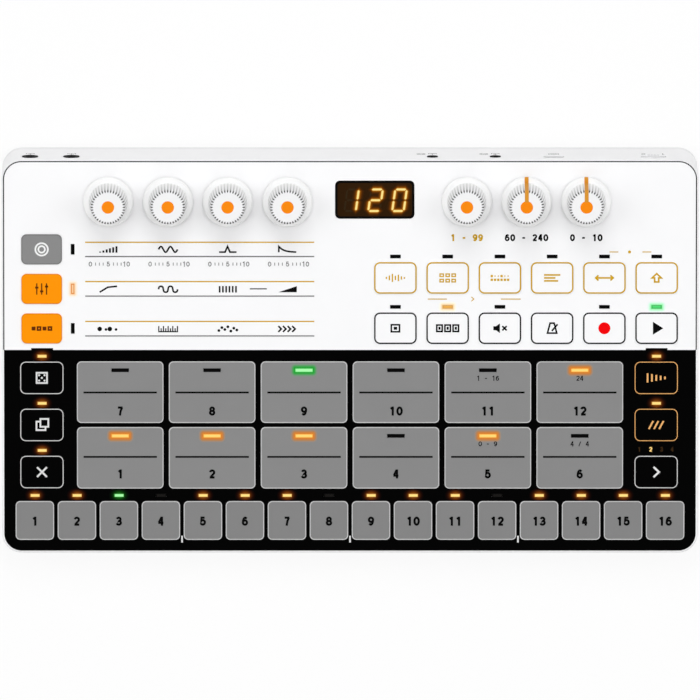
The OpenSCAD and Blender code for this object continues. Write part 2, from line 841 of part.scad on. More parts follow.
// The USB socket's outline: a flat top and a narrower foot.
module usb_outline(grow) {
    half_w = usb_w / 2 + grow;
    half_h = usb_h / 2 + grow;
    polygon([
        [-half_w, -half_h], [half_w, -half_h], [half_w, half_h / 3],
        [half_w - 1, half_h], [-half_w + 1, half_h], [-half_w, half_h / 3]
    ]);
}

module usb_socket() {
    shell_t = 0.35;
    front_v = case_len - usb_inset;
    color("silver") on_panel() {
        difference() {
            on_rear(usb_u, front_v - usb_body_l - wall_t) linear_extrude(usb_body_l + wall_t)
                usb_outline(0);
            on_rear(usb_u, front_v - usb_body_l) linear_extrude(usb_body_l + 1)
                usb_outline(-shell_t);
        }
        block(usb_u, front_v - usb_body_l / 2 - 0.6, usb_w / 2, usb_body_l,
            -socket_depth - 0.1, -socket_depth + 0.5);
        block(usb_u, wall_v - usb_body_l / 2 - 0.5, usb_w - 2.4, usb_body_l - 1, socket_board_w,
            -socket_depth - usb_h / 2 + 0.1);
    }
}

module power_switch_body() {
    front_v = wall_v - slack;
    color("dimgray") on_panel() difference() {
        block(switch_u, front_v - switch_body[1] / 2, switch_body[0], switch_body[1],
            socket_board_w, socket_top_w);
        on_rear(switch_u, front_v - switch_root - switch_play) linear_extrude(switch_body[1])
            square([switch_slot, switch_h + 2 * switch_play], center = true);
    }
}

module power_switch_slider() {
    v0 = wall_v - slack - switch_root;
    v1 = case_len + switch_proud;
    rib_pitch = 1.1;
    color("gainsboro") on_panel() difference() {
        block(switch_u, (v0 + v1) / 2, switch_w, v1 - v0,
            -socket_depth - switch_h / 2, -socket_depth + switch_h / 2);
        for (i = [-1:1])
            block(switch_u + i * rib_pitch, v1, rib_pitch / 2, 0.6, -socket_depth - switch_h,
                -socket_depth + switch_h);
    }
}

// The light guides of one state, from the board up through the panel.
module light_guides(state) {
    on_panel()
        for (i = [0:len(lights) - 1])
            if (light_states[i] == state) {
                l = lights[i];
                block(l[0], l[1], l[2], l[3], board_w, l[4]);
            }
}

module unlit_lights() {
    color("#2a2a2a") light_guides("o");
}

module amber_lights() {
    color("orange") light_guides("a");
}

module green_lights() {
    color("limegreen") light_guides("g");
}

// Two rows of two cells; the rows point opposite ways.
module batteries() {
    nub_len = 1;
    nub_r = 2.75;
    color("steelblue") translate([bay_u, bay_y, cell_z])
        for (row = [-1, 1]) translate([0, row * cell_pitch / 2, 0])
            rotate(row < 0 ? 0 : 180)
                translate([-bay_w / 2 + spring_room, 0, 0]) rotate([0, 90, 0])
                    for (i = [0, 1]) {
                        post(0, 0, cell_d / 2, i * cell_len, (i + 1) * cell_len - nub_len);
                        post(0, 0, nub_r, i * cell_len + nub_len, (i + 1) * cell_len - cell_touch);
                    }
}

// A spring at one end of each row and a plate with a raised middle at the other.
module battery_contacts() {
    turns = 6;
    turn_pitch = (spring_room - leaf_t - 2 * wire_r - cell_touch) / (turns - 1);
    color("silver") translate([bay_u, bay_y, cell_z])
        for (row = [-1, 1]) translate([0, row * cell_pitch / 2, 0]) rotate(row < 0 ? 0 : 180) {
            translate([-bay_w / 2, -leaf / 2, -leaf / 2]) cube([leaf_t, leaf, leaf]);
            translate([-bay_w / 2 + leaf_t, 0, 0]) rotate([0, 90, 0]) rotate_extrude()
                for (t = [0:turns - 1])
                    translate([spring_r, wire_r + t * turn_pitch]) circle(wire_r);
            translate([bay_w / 2 - leaf_t, -leaf / 2, -leaf / 2]) cube([leaf_t, leaf, leaf]);
            translate([bay_w / 2 - plate_room, 0, 0]) rotate([0, 90, 0])
                cylinder(h = plate_room, r = plate_r);
        }
}

module battery_door() {
    notch_r = 7;
    color("whitesmoke") difference() {
        union() {
            translate([bay_u - door_w / 2, hinge_y, foot_h])
                cube([door_w, door_l - door_t / 2, door_t]);
            translate([bay_u, hinge_y, hinge_z]) rotate([0, 90, 0]) {
                cylinder(h = door_w, r = door_t / 2, center = true);
                cylinder(h = door_w + 2 * (door_gap + pin_len - slack), r = pin_r, center = true);
            }
        }
        translate([bay_u, door_front_y + door_l, foot_h - 1])
            cylinder(h = 1 + door_t / 2, r = notch_r);
    }
}

module rubber_feet() {
    round_r = 0.7;
    color("#303030")
        for (x = [-1, 1], y = foot_y)
            translate([x * (case_w / 2 - foot_inset), y, 0]) rotate_extrude() {
                square([foot_r - round_r, foot_h + foot_recess]);
                translate([0, round_r]) square([foot_r, foot_h + foot_recess - round_r]);
                translate([foot_r - round_r, round_r]) circle(round_r);
            }
}

// One screw, driven upwards, with the underside of its head at the origin.
module screw() {
    slot_w = 0.7;
    slot_len = 2.4;
    slot_depth = 0.5;
    difference() {
        union() {
            translate([0, 0, -head_h]) cylinder(h = head_h, r = head_r);
            translate([0, 0, -0.1]) cylinder(h = screw_len + 0.1, r = screw_r);
        }
        for (turn = [0, 90]) rotate(turn)
            translate([-slot_w / 2, -slot_len / 2, -head_h - slot_depth])
                cube([slot_w, slot_len, 2 * slot_depth]);
    }
}

module screws() {
    color("#404040") {
        for (s = case_screws) translate([s[0], s[1], head_seat_z]) screw();
        on_panel() for (s = board_screws) translate([s[0], s[1], board_back_w]) screw();
    }
}

module level_knob() { knob(0); }
module tune_knob() { knob(1); }
module snap_knob() { knob(2); }
module decay_knob() { knob(3); }
module data_knob() { knob(4); }
module tempo_knob() { knob(5); }
module volume_knob() { knob(6); }

module level_shaft() { shaft(0); }
module tune_shaft() { shaft(1); }
module snap_shaft() { shaft(2); }
module decay_shaft() { shaft(3); }
module data_shaft() { shaft(4); }
module tempo_shaft() { shaft(5); }
module volume_shaft() { shaft(6); }

module drum_mode_button() { color("#8a8a8a") key(0); }
module effects_mode_button() { color("orange") key(1); }
module sequencer_mode_button() { color("orange") key(2); }

module sound_button() { color("white") key(3); }
module kit_button() { color("white") key(4); }
module pattern_button() { color("white") key(5); }
module song_button() { color("white") key(6); }
module length_button() { color("white") key(7); }
module alt_button() { color("white") key(8); }
module select_button() { color("white") key(9); }
module select_all_button() { color("white") key(10); }
module mute_button() { color("white") key(11); }
module tap_tempo_button() { color("white") key(12); }
module record_button() { color("white") key(13); }
module play_button() { color("white") key(14); }

module random_button() { color("#111111") key(15); }
module copy_button() { color("#111111") key(16); }
module cancel_button() { color("#111111") key(17); }
module stutter_button() { color("#111111") key(18); }
module roll_button() { color("#111111") key(19); }
module next_button() { color("#111111") key(20); }

bottom_shell();
top_shell();
upper_overlay();
lower_overlay();
drum_pads();
step_pads();
display_window();
display_module();
main_board();
socket_board();
dome_switches();
rotary_bodies();
audio_sockets();
midi_sockets();
usb_socket();
power_switch_body();
power_switch_slider();
unlit_lights();
amber_lights();
green_lights();
batteries();
battery_contacts();
battery_door();
rubber_feet();
screws();
level_knob();
tune_knob();
snap_knob();
decay_knob();
data_knob();
tempo_knob();
volume_knob();
level_shaft();
tune_shaft();
snap_shaft();
decay_shaft();
data_shaft();
tempo_shaft();
volume_shaft();
drum_mode_button();
effects_mode_button();
sequencer_mode_button();
sound_button();
kit_button();
pattern_button();
song_button();
length_button();
alt_button();
select_button();
select_all_button();
mute_button();
tap_tempo_button();
record_button();
play_button();
random_button();
copy_button();
cancel_button();
stutter_button();
roll_button();
next_button();
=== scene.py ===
import json
import math

import bmesh
import bpy
import numpy as np
from mathutils import Matrix, Vector


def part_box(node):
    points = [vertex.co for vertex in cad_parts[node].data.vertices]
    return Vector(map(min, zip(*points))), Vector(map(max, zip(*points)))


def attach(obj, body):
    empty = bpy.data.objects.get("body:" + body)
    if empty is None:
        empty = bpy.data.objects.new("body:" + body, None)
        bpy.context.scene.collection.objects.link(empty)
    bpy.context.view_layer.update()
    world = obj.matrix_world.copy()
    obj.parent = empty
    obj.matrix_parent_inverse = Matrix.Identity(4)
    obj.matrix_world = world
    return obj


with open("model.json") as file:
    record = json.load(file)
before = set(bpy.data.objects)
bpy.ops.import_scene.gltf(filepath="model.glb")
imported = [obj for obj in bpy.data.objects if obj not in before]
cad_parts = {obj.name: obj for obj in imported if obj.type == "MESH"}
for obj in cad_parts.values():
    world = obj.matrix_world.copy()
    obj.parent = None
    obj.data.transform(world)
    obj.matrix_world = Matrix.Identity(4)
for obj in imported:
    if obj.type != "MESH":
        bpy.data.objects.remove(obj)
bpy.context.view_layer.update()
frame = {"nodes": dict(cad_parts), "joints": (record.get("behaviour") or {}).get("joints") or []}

bl_info = {
    "name": "Drum Machine Finish",
    "version": (1, 0, 0),
    "blender": (4, 5, 0),
    "location": "3D View > Sidebar > Drum Machine",
    "description": "Finishes, prints, lights and a stage for a desktop drum machine",
    "category": "Object",
}

MM = 0.001
KNOBS = ("level", "tune", "snap", "decay", "data", "tempo", "volume")
POINTER_KNOBS = ("tempo", "volume")
MODE_KEYS = ("drum_mode", "effects_mode", "sequencer_mode")
GOLD_KEYS = ("sound", "kit", "pattern", "song", "length", "alt")
PLAIN_KEYS = ("select", "select_all", "mute", "tap_tempo", "record", "play")
SIDE_KEYS = ("random", "copy", "cancel", "stutter", "roll", "next")


def paint(red, green, blue):
    """A screen colour from 0 to 255, as the linear values that a shader takes."""
    values = [c / 255 for c in (red, green, blue)]
    return tuple(c / 12.92 if c < 0.04045 else ((c + 0.055) / 1.055) ** 2.4 for c in values)


def shade(colour, factor):
    return tuple(min(1.0, c * factor) for c in colour)


def colour_property(name, description, red, green, blue):
    return bpy.props.FloatVectorProperty(
        name=name, description=description, subtype="COLOR", size=3,
        default=paint(red, green, blue), min=0, max=1)


def length_property(name, description, millimetres):
    return bpy.props.FloatProperty(
        name=name, description=description, default=millimetres, min=0, precision=2)


class DrumColours(bpy.types.PropertyGroup):
    """Colours of the case and the prints."""
    case: colour_property("Case", "Moulded case", 244, 244, 245)
    foil: colour_property("White foil", "Rear half of the panel", 246, 246, 247)
    dark: colour_property("Black foil", "Front half of the panel", 1, 1, 1)
    pad: colour_property("Pads", "Touch pads and steps", 134, 134, 134)
    pad_edge: colour_property("Pad edge", "Line round each pad", 204, 204, 204)
    orange: colour_property("Orange", "Orange keys", 254, 148, 6)
    mark: colour_property("Knob marks", "Dots of the knobs", 246, 136, 14)
    gold: colour_property("Gold print", "Gold lines and symbols", 203, 161, 4)
    black: colour_property("Black print", "Black lines and symbols", 3, 3, 3)
    grey: colour_property("Grey print", "Grey lines", 118, 118, 118)
    pale: colour_property("Pale print", "Pale symbols on black", 222, 222, 222)
    red: colour_property("Red print", "Record mark", 240, 4, 9)


class DrumSizes(bpy.types.PropertyGroup):
    """Sizes of the prints and marks, in millimetres."""
    knob_row: length_property("Knob row", "Distance of the knob row from the front edge", 130.6)
    rise: length_property("Print rise", "How far a print stands above its surface", 0.03)
    key_line: length_property("Key line", "Width of the line round a key", 0.54)
    side_line: length_property("Side key line", "Width of the line round a side key", 0.28)
    # The mode keys' ring is painted shade at the key's edge, not a printed line.
    mode_line: length_property("Mode key line", "Width of the line round a mode key", 0.3)
    line_inset: length_property("Line inset", "Distance of a key's line from its edge", 0.13)
    rear_line: length_property("Rear line", "Width of the lines on the rear wall", 0.32)
    scale_line: length_property("Scale line", "Width of the long gold and grey lines", 0.46)
    key_gap: length_property("Key web", "Width of the stretched foil round a key", 0.15)
    groove: length_property("Rim groove", "Width of the gap round the overlay", 0.35)
    pad_line: length_property("Pad line", "Width of the line round a pad", 0.34)
    number: length_property("Number height", "Height of the pad and step numbers", 3.4)
    stroke: length_property("Symbol line", "Width of the symbols' lines", 0.62)
    # Widths of the strips of painted shade that lie in the grips' grooves.
    flute_top: length_property("Flute top", "Width of a grip's flute at its top", 0.12)
    flute: length_property("Flute", "Width of a grip's flute at its shoulder", 0.54)
    flute_foot: length_property("Flute foot", "Width of a grip's flute down its wall", 0.56)
    dot: length_property("Knob dot", "Radius of the orange dot on a knob", 2.3)
    pointer: length_property("Pointer", "Width of the pointer line on a knob", 1.45)
    digit: length_property("Digit height", "Height of a display digit", 8.67)
    frame_width: length_property("Picture width", "Width that the camera sees", 257.35)


def colours():
    return bpy.context.scene.drum_colours


def sizes():
    return bpy.context.scene.drum_sizes


# ---------------------------------------------------------------- the panel's plane

def panel_plane():
    """Turns panel millimetres (u right, v up the slope, w out) into metres of the frame."""
    turn = next(j for j in frame["joints"] if j["name"] == "level_turn")
    right, normal = Vector((1, 0, 0)), Vector(turn["axis"]).normalized()
    slope = normal.cross(right)
    origin = Vector(turn["pos_m"]) - slope * sizes().knob_row * MM
    origin.x = 0
    plane = Matrix((right, slope, normal)).transposed().to_4x4()
    plane.translation = origin
    return plane @ Matrix.Scale(MM, 4)


def panel_solids(node):
    """The lowest and the highest corner of each separate solid of a node, on the panel."""
    bm = bmesh.new()
    bm.from_mesh(frame["nodes"][node].data)
    bmesh.ops.remove_doubles(bm, verts=bm.verts, dist=1e-6)
    bm.transform(panel_plane().inverted())
    seen, boxes = set(), []
    for first in bm.verts:
        if first in seen:
            continue
        seen.add(first)
        stack, points = [first], []
        while stack:
            vertex = stack.pop()
            points.append(tuple(vertex.co))
            near = {edge.other_vert(vertex) for edge in vertex.link_edges} - seen
            seen |= near
            stack.extend(near)
        boxes.append((np.min(points, axis=0), np.max(points, axis=0)))
    bm.free()
    return boxes


def spot(low, high):
    """Middle, size and top of a box on the panel."""
    return ((low[0] + high[0]) / 2, (low[1] + high[1]) / 2, high[0] - low[0], high[1] - low[1],
            high[2])


def places(node):
    """The spot of each solid of a node, rear row first and left to right."""
    return sorted((spot(*box) for box in panel_solids(node)),
                  key=lambda s: (-round(s[1] / 4), s[0]))


def place(node):
    """The spot of a whole node."""
    lows, highs = zip(*panel_solids(node))
    return spot(np.min(lows, axis=0), np.max(highs, axis=0))


# ---------------------------------------------------------------- nodes of every kind

def put(tree, target, value):
    """Links an input, or sets its value."""
    if isinstance(value, bpy.types.NodeSocket):
        tree.links.new(value, target)
    else:
        target.default_value = value


def add(tree, kind, **inputs):
    """A node; the names of its inputs are given with _ for each space."""
    node = tree.nodes.new(kind)
    for key, value in inputs.items():
        put(tree, node.inputs[key.replace("_", " ")], value)
    return node


def maths(tree, operation, first, second):
    node = tree.nodes.new("ShaderNodeMath")
    node.operation = operation
    put(tree, node.inputs[0], first)
    put(tree, node.inputs[1], second)
    return node.outputs[0]


def blended(tree, share, first, second):
    """A shader between two shaders."""
    node = tree.nodes.new("ShaderNodeMixShader")
    for target, value in zip(node.inputs, (share, first, second)):
        put(tree, target, value)
    return node.outputs[0]


# ---------------------------------------------------------------- finishes

class Finish:
    """A material that is put together node by node."""

    def __init__(self, name):
        self.material = bpy.data.materials.new(name)
        self.material.use_nodes = True
        self.tree = self.material.node_tree
        self.shader = next(n for n in self.tree.nodes if n.type == "BSDF_PRINCIPLED")
        self.position = add(self.tree, "ShaderNodeTexCoord").outputs["Object"]

    def set(self, **inputs):
        for key, value in inputs.items():
            put(self.tree, self.shader.inputs[key.replace("_", " ")], value)

    def noise(self, millimetres, detail=3.0, position=None):
        return add(self.tree, "ShaderNodeTexNoise", Vector=position or self.position,
                   Scale=1 / MM / millimetres, Detail=detail).outputs["Fac"]

    def share(self, value, low, high, first=0, last=1):
        """Maps the values from low to high onto those from first to last."""
        return add(self.tree, "ShaderNodeMapRange", Value=value, From_Min=low, From_Max=high,
                   To_Min=first, To_Max=last).outputs["Result"]

    def spread(self, value, first, last):
        """Maps a noise value onto a narrow range."""
        return self.share(value, 0.3, 0.7, first, last)

    def mixed(self, factor, first, second):
        """A colour between two colours, by a factor."""
        node = add(self.tree, "ShaderNodeMix")
        node.data_type = "RGBA"
        for index, value in ((0, factor), (6, first), (7, second)):
            put(self.tree, node.inputs[index], (*value, 1) if isinstance(value, tuple) else value)
        return node.outputs[2]

    def ramp(self, share, steps):
        """A colour that runs through steps, each a share from 0 to 1 and a colour."""
        node = add(self.tree, "ShaderNodeValToRGB", Fac=share)
        elements = node.color_ramp.elements
        for element, (at, colour) in zip(elements, (steps[0], steps[-1])):
            element.position, element.color = at, (*colour, 1)
        for at, colour in steps[1:-1]:
            elements.new(at).color = (*colour, 1)
        return node

    def bump(self, height, strength, distance):
        self.set(Normal=add(self.tree, "ShaderNodeBump", Height=height, Strength=strength,
                            Distance=distance).outputs["Normal"])

    def vector(self, operation, first, second=None):
        node = self.tree.nodes.new("ShaderNodeVectorMath")
        node.operation = operation
        put(self.tree, node.inputs[0], first)
        if second is not None:
            node.inputs[1].default_value = second
        return node.outputs["Value" if operation in ("LENGTH", "DOT_PRODUCT") else "Vector"]

    def height(self, low, high):
        """From 0 to 1 between two heights above the panel."""
        plane = panel_plane()
        normal = plane.to_3x3().col[2].normalized()
        level = plane.translation.dot(normal)
        return self.share(self.vector("DOT_PRODUCT", self.position, normal),
                          level + low * MM, level + high * MM)

    def beyond(self, width, length, narrow=1.0):
        """Distance in millimetres from a bar of that size, read from the piece's own map."""
        own = add(self.tree, "ShaderNodeUVMap")
        own.uv_map = "UVMap"
        size = self.vector("ABSOLUTE", own.outputs["UV"])
        past = self.vector("SUBTRACT", size, (width / 2, length / 2, 0))
        outside = self.vector("MAXIMUM", past, (0, 0, 0))
        return self.vector("LENGTH", self.vector("MULTIPLY", outside, (narrow, 1, 1)))


def surface(name, colour, rough=0.5, grain=0.4, depth=0.01, tint=0.03, specular=0.3,
            metallic=0.0, stretch=(1, 1, 1), spread_rough=0.08):
    """A moulded, printed or metal finish: grained, and a little uneven in colour and gloss."""
    made = Finish(name)
    mapped = add(made.tree, "ShaderNodeMapping", Vector=made.position, Scale=stretch)
    fine = made.noise(grain, position=mapped.outputs["Vector"])
    cloud = made.spread(made.noise(14.0, 2.0), 0, 1)
    made.set(Base_Color=made.mixed(cloud, shade(colour, 1 - tint), shade(colour, 1 + tint)),
             Roughness=made.spread(fine, max(0.02, rough - spread_rough),
                                   min(1, rough + spread_rough)),
             Specular_IOR_Level=specular, Metallic=metallic)
    made.bump(fine, 1.0, depth * MM)
    return made.material


def board_finish(name):
    """Green solder mask over copper tracks, with tinned spots."""
    made = Finish(name)
    tracks = add(made.tree, "ShaderNodeTexBrick", Vector=made.position, Scale=260.0,
                 Mortar_Size=0.09, Mortar_Smooth=0.1, Brick_Width=1.6,
                 Row_Height=0.5).outputs["Fac"]
    spots = add(made.tree, "ShaderNodeTexVoronoi", Vector=made.position, Scale=330.0)
    tinned = maths(made.tree, "LESS_THAN", spots.outputs["Distance"], 0.16)
    green = made.mixed(tracks, (0.012, 0.085, 0.03), (0.03, 0.17, 0.055))
    made.set(Base_Color=made.mixed(tinned, green, (0.62, 0.6, 0.55)),
             Roughness=made.spread(made.noise(0.8), 0.28, 0.45))
    made.bump(tracks, 0.6, 3e-5)
    return made.material


def sleeve_finish(name, node):
    """The printed sleeve of a cell, with a bare steel end."""
    made = Finish(name)
    low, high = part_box(node)
    steel, rim, blue, ochre = ((0.55, 0.55, 0.56), (0.6, 0.6, 0.6), (0.03, 0.07, 0.16),
                               (0.5, 0.33, 0.12))
    along = add(made.tree, "ShaderNodeSeparateXYZ", Vector=made.position).outputs["X"]
    bands = made.ramp(made.share(along, low.x, high.x), (
        (0.0, steel), (0.012, blue), (0.36, ochre), (0.485, rim), (0.512, blue), (0.86, ochre),
        (0.985, rim)))
    bands.color_ramp.interpolation = "CONSTANT"
    wrap = made.noise(3.0)
    made.set(Base_Color=bands.outputs["Color"], Roughness=made.spread(wrap, 0.25, 0.4),
             Metallic=0.35)
    made.bump(wrap, 0.4, 3e-5)
    return made.material


def glow_finish(name, base, steps, share, width, length, reach, narrow, specular):
    """Painted glow on the surface round a light: colours from the light outwards, part painted into
    the base colour as light and part emission.
    """
    made = Finish(name)
    near = made.share(made.beyond(width, length, narrow), 0, reach)
    for target, part, end in (("Base_Color", 1 - share, base),
                              ("Emission_Color", share, (0, 0, 0))):
        shades = [(at, shade(colour, part)) for at, colour in steps]
        made.set(**{target: made.ramp(near, shades + [(1.0, end)]).outputs["Color"]})
    made.set(Emission_Strength=1.0, Roughness=made.spread(made.noise(0.15), 0.49, 0.61),
             Specular_IOR_Level=specular)
    return made.material


def lens_finish(name, core, rim, width, length, blend):
    """A lit light guide: pale in the middle and deeper at its rim."""
    made = Finish(name)
    near = made.share(made.beyond(width - 0.9, length - 0.9), *blend)
    grain = made.noise(0.3)
    made.set(Emission_Color=made.mixed(made.spread(grain, 0, 0.12),
                                       made.mixed(near, core, rim), rim),
             Emission_Strength=1.0, Base_Color=(*shade(rim, 0.05), 1),
             Roughness=made.spread(grain, 0.25, 0.4), Specular_IOR_Level=0.1)
    return made.material


def lit_finish(name, colour):
    """A part that shines evenly, with a fine unevenness."""
    made = Finish(name)
    grain = made.noise(0.5)
    made.set(Emission_Color=made.mixed(made.spread(grain, 0, 1), shade(colour, 0.94), colour),
             Emission_Strength=1.0, Base_Color=(*shade(colour, 0.03), 1),
             Roughness=made.spread(grain, 0.3, 0.45), Specular_IOR_Level=0.02)
    return made.material


def ink(name, colour):
    """A screen print: matt, with the fine unevenness of ink."""
    return surface(name, colour, rough=0.55, grain=0.12, depth=0.002, tint=0.04, specular=0.03)


def finish(name):
    """One of the prints' inks, made once."""
    made = bpy.data.materials.get(name + "_ink")
    return made or ink(name + "_ink", getattr(colours(), name))


def coat(material, *nodes):
    for node in nodes:
        mesh = frame["nodes"][node].data
        mesh.materials.clear()
        mesh.materials.append(material)


def dress(name, colour, *nodes, **settings):
    """Coats nodes with a new surface."""
    coat(surface(name, colour, **settings), *nodes)


# ---------------------------------------------------------------- pieces

def piece(name, mesh, material, body="case"):
    """Puts a mesh drawn on the panel's plane in its place, on the body that it rides on."""
    mesh.name = name
    mesh.transform(panel_plane())
    if material is not None:
        mesh.materials.append(material)
    built = bpy.data.objects.new(name, mesh)
    bpy.context.scene.collection.objects.link(built)
    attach(built, body)


def finished(bm):
    """Turns a bmesh into a mesh with its faces outwards."""
    bmesh.ops.recalc_face_normals(bm, faces=bm.faces)
    mesh = bpy.data.meshes.new("shape")
    bm.to_mesh(mesh)
    bm.free()
    return mesh


def skinned(rings, ends=(-1, 0)):
    """A solid through rings of equally many points, closed at both ends in the order given."""
    bm = bmesh.new()
    rows = [[bm.verts.new(point) for point in ring] for ring in rings]
    for row, after in zip(rows, rows[1:]):
        for i in range(len(row)):
            j = (i + 1) % len(row)
            bm.faces.new((row[i], row[j], after[j], after[i]))
    bm.faces.new(rows[ends[0]])
    bm.faces.new(rows[ends[1]][::-1])
    return finished(bm)


def arc(x, y, rx, ry, start, end, steps=14):
    """Points of an ellipse's arc, between two angles in degrees."""
    angles = [math.radians(start + (end - start) * i / steps) for i in range(steps + 1)]
    return [(x + rx * math.cos(a), y + ry * math.sin(a)) for a in angles]


def loop(x, y, rx, ry, steps=24):
    return arc(x, y, rx, ry, 0, 360, steps)[:-1]


def corners(x, y, width, length):
    half_w, half_l = width / 2, length / 2
    return [(x - half_w, y - half_l), (x + half_w, y - half_l), (x + half_w, y + half_l),
            (x - half_w, y + half_l)]


def bow(x, y, corner, end):
    """A line across the panel at y, with a rounded corner and a leg down to end on each side."""
    return [(x, end), *arc(x - corner, y - corner, corner, corner, 0, 90),
            *arc(corner - x, y - corner, corner, corner, 90, 180), (-x, end)]


# The lines of each digit in a box one wide and one high, and whether each line is closed.
SIX = [(loop(0.5, 0.3, 0.48, 0.3), True),
       ([(0.03, 0.34), (0.08, 0.62), (0.22, 0.86), (0.42, 0.98), (0.64, 1.0), (0.92, 0.86)], False)]
DIGITS = {
    "0": [(loop(0.5, 0.5, 0.5, 0.5), True)],
    "1": [([(0.6, -0.15), (0.6, 1.15)], False), ([(0.1, 0.8), (0.6, 1.04)], False)],
    "2": [(arc(0.5, 0.72, 0.47, 0.28, 172, -28) + [(0.12, 0.03)], False),
          ([(-0.08, 0.0), (1.06, 0.0)], False)],
    "3": [(arc(0.46, 0.75, 0.42, 0.25, 165, -80) + arc(0.46, 0.26, 0.5, 0.26, 80, -165), False)],
    "4": [([(0.74, -0.15), (0.74, 1.15)], False), ([(0.64, 1.08), (0.02, 0.3)], False),
          ([(-0.12, 0.26), (1.1, 0.26)], False)],
    "5": [([(0.9, 1.0), (0.17, 1.0), (0.08, 0.5)] + arc(0.46, 0.33, 0.5, 0.32, 118, -160), False)],
    "6": SIX,
    "7": [([(-0.05, 1.0), (1.06, 1.0)], False), ([(0.94, 1.0), (0.6, 0.5), (0.42, -0.15)], False)],
    "8": [(loop(0.5, 0.76, 0.41, 0.24), True), (loop(0.5, 0.26, 0.49, 0.26), True)],
    "9": [([(1 - px, 1 - py) for px, py in points], closed) for points, closed in SIX],
    "-": [([(0.1, 0.46), (0.9, 0.46)], False)],
    "/": [([(0.15, -0.08), (0.85, 1.08)], False)],
    " ": [],
}


class Pen:
    """Draws flat shapes in panel millimetres and raises each into a thin closed solid."""

    SUNK = 0.03  # how far a print reaches into its surface
    STEP = 0.0005  # how much higher each next shape is, so that crossing lines share no face

    def __init__(self, surface_w=0.0, at=(0.0, 0.0), rise=None, line=None):
        self.bm = bmesh.new()
        self.low = surface_w - self.SUNK
        self.top = surface_w + (sizes().rise if rise is None else rise)
        self.line = line or sizes().stroke
        self.move(*at)

    def move(self, u, v):
        self.u, self.v, self.high = u, v, self.top
        return self

    def rings(self, loops):
        """Vertices for each loop, at the lower and the upper height."""
        self.high += self.STEP
        return [[[self.bm.verts.new((self.u + x, self.v + y, w)) for x, y in loop]
                 for w in (self.low, self.high)] for loop in loops]

    def fill(self, outline):
        """A closed outline with straight or gently bent sides."""
        (low, high), = self.rings([outline])
        self.bm.faces.new(high)
        self.bm.faces.new(low[::-1])
        for i in range(len(outline)):
            j = (i + 1) % len(outline)
            self.bm.faces.new((low[i], low[j], high[j], high[i]))

    def strip(self, left, right, closed):
        """The band between two lines of equal length."""
        (left_low, left_high), (right_low, right_high) = self.rings([left, right])
        count = len(left)
        for i in range(count if closed else count - 1):
            j = (i + 1) % count
            for face in ((left_high[i], right_high[i], right_high[j], left_high[j]),
                         (left_low[i], left_low[j], right_low[j], right_low[i]),
                         (left_low[i], left_high[i], left_high[j], left_low[j]),
                         (right_low[i], right_low[j], right_high[j], right_high[i])):
                self.bm.faces.new(face)
        if not closed:
            for i in (0, -1):
                self.bm.faces.new((left_low[i], right_low[i], right_high[i], left_high[i]))

    def stroke(self, points, width=None, closed=False):
        """A line of even width through points, with mitred corners."""
        path = [Vector(p).to_2d() for p in points]
        last = len(path) - 1
        left, right = [], []
        for i, point in enumerate(path):
            runs = []
            if closed or i:
                runs.append((point - path[i - 1]).normalized())
            if closed or i < last:
                runs.append((path[(i + 1) % len(path)] - point).normalized())
            along = sum(runs, Vector((0, 0))).normalized()
            across = Vector((-along.y, along.x))
            first = Vector((-runs[0].y, runs[0].x))
            half = (width or self.line) / 2 / max(0.4, across.dot(first))
            left.append(point + across * half)
            right.append(point - across * half)
        self.strip(left, right, closed)

    def bar(self, x, y, width, length=None):
        self.fill(corners(x, y, width, length or self.line))

    def disc(self, x, y, radius, sides):
        self.fill(loop(x, y, radius, radius, sides))

    def ring(self, x, y, radius):
        self.stroke(loop(x, y, radius, radius, 32), closed=True)

    def box(self, x, y, width, length, line=None):
        self.stroke(corners(x, y, width, length), line, True)

    def number(self, text, x, y, height, bold=0.24):
        """Plain numbers, centred, in lines of even width."""
        line, step = height * bold, height * 0.78
        wide, tall = height * 0.7 - line, height - line
        for i, character in enumerate(text):
            left = x + (i - (len(text) - 1) / 2) * step - wide / 2
            for points, closed in DIGITS[character]:
                self.stroke([(left + wide * px, y + tall * (py - 0.5)) for px, py in points],
                            line, closed)

    def symbol(self, name):
        for kind, *given in SYMBOLS[name]:
            getattr(self, kind)(*given)

    def mesh(self):
        bmesh.ops.remove_doubles(self.bm, verts=self.bm.verts, dist=1e-4)
        return finished(self.bm)


# ---------------------------------------------------------------- repeated prints

def start_tree(name, **extra):
    """A node tree that takes places, sizes and a material, and puts out one mesh."""
    tree = bpy.data.node_groups.new(name, "GeometryNodeTree")

    def socket(title, kind, way="INPUT"):
        return tree.interface.new_socket(title, in_out=way, socket_type="NodeSocket" + kind)

    socket("Places", "Geometry")
    for title, value in {"Width": 10.0, "Length": 10.0, "Height": 0.06, **extra}.items():
        socket(title, "Int" if isinstance(value, int) else "Float").default_value = value
    socket("Finish", "Material")
    socket("Pieces", "Geometry", "OUTPUT")
    return tree, tree.nodes.new("NodeGroupInput").outputs


def end_tree(tree, given, shape):
    """Sets a shape on every place, makes it real and gives it its finish."""
    repeat = add(tree, "GeometryNodeInstanceOnPoints", Points=given["Places"], Instance=shape)
    real = add(tree, "GeometryNodeRealizeInstances", Geometry=repeat.outputs["Instances"])
    dressed = add(tree, "GeometryNodeSetMaterial", Geometry=real.outputs["Geometry"],
                  Material=given["Finish"])
    add(tree, "NodeGroupOutput", Pieces=dressed.outputs["Geometry"])
    return repeat


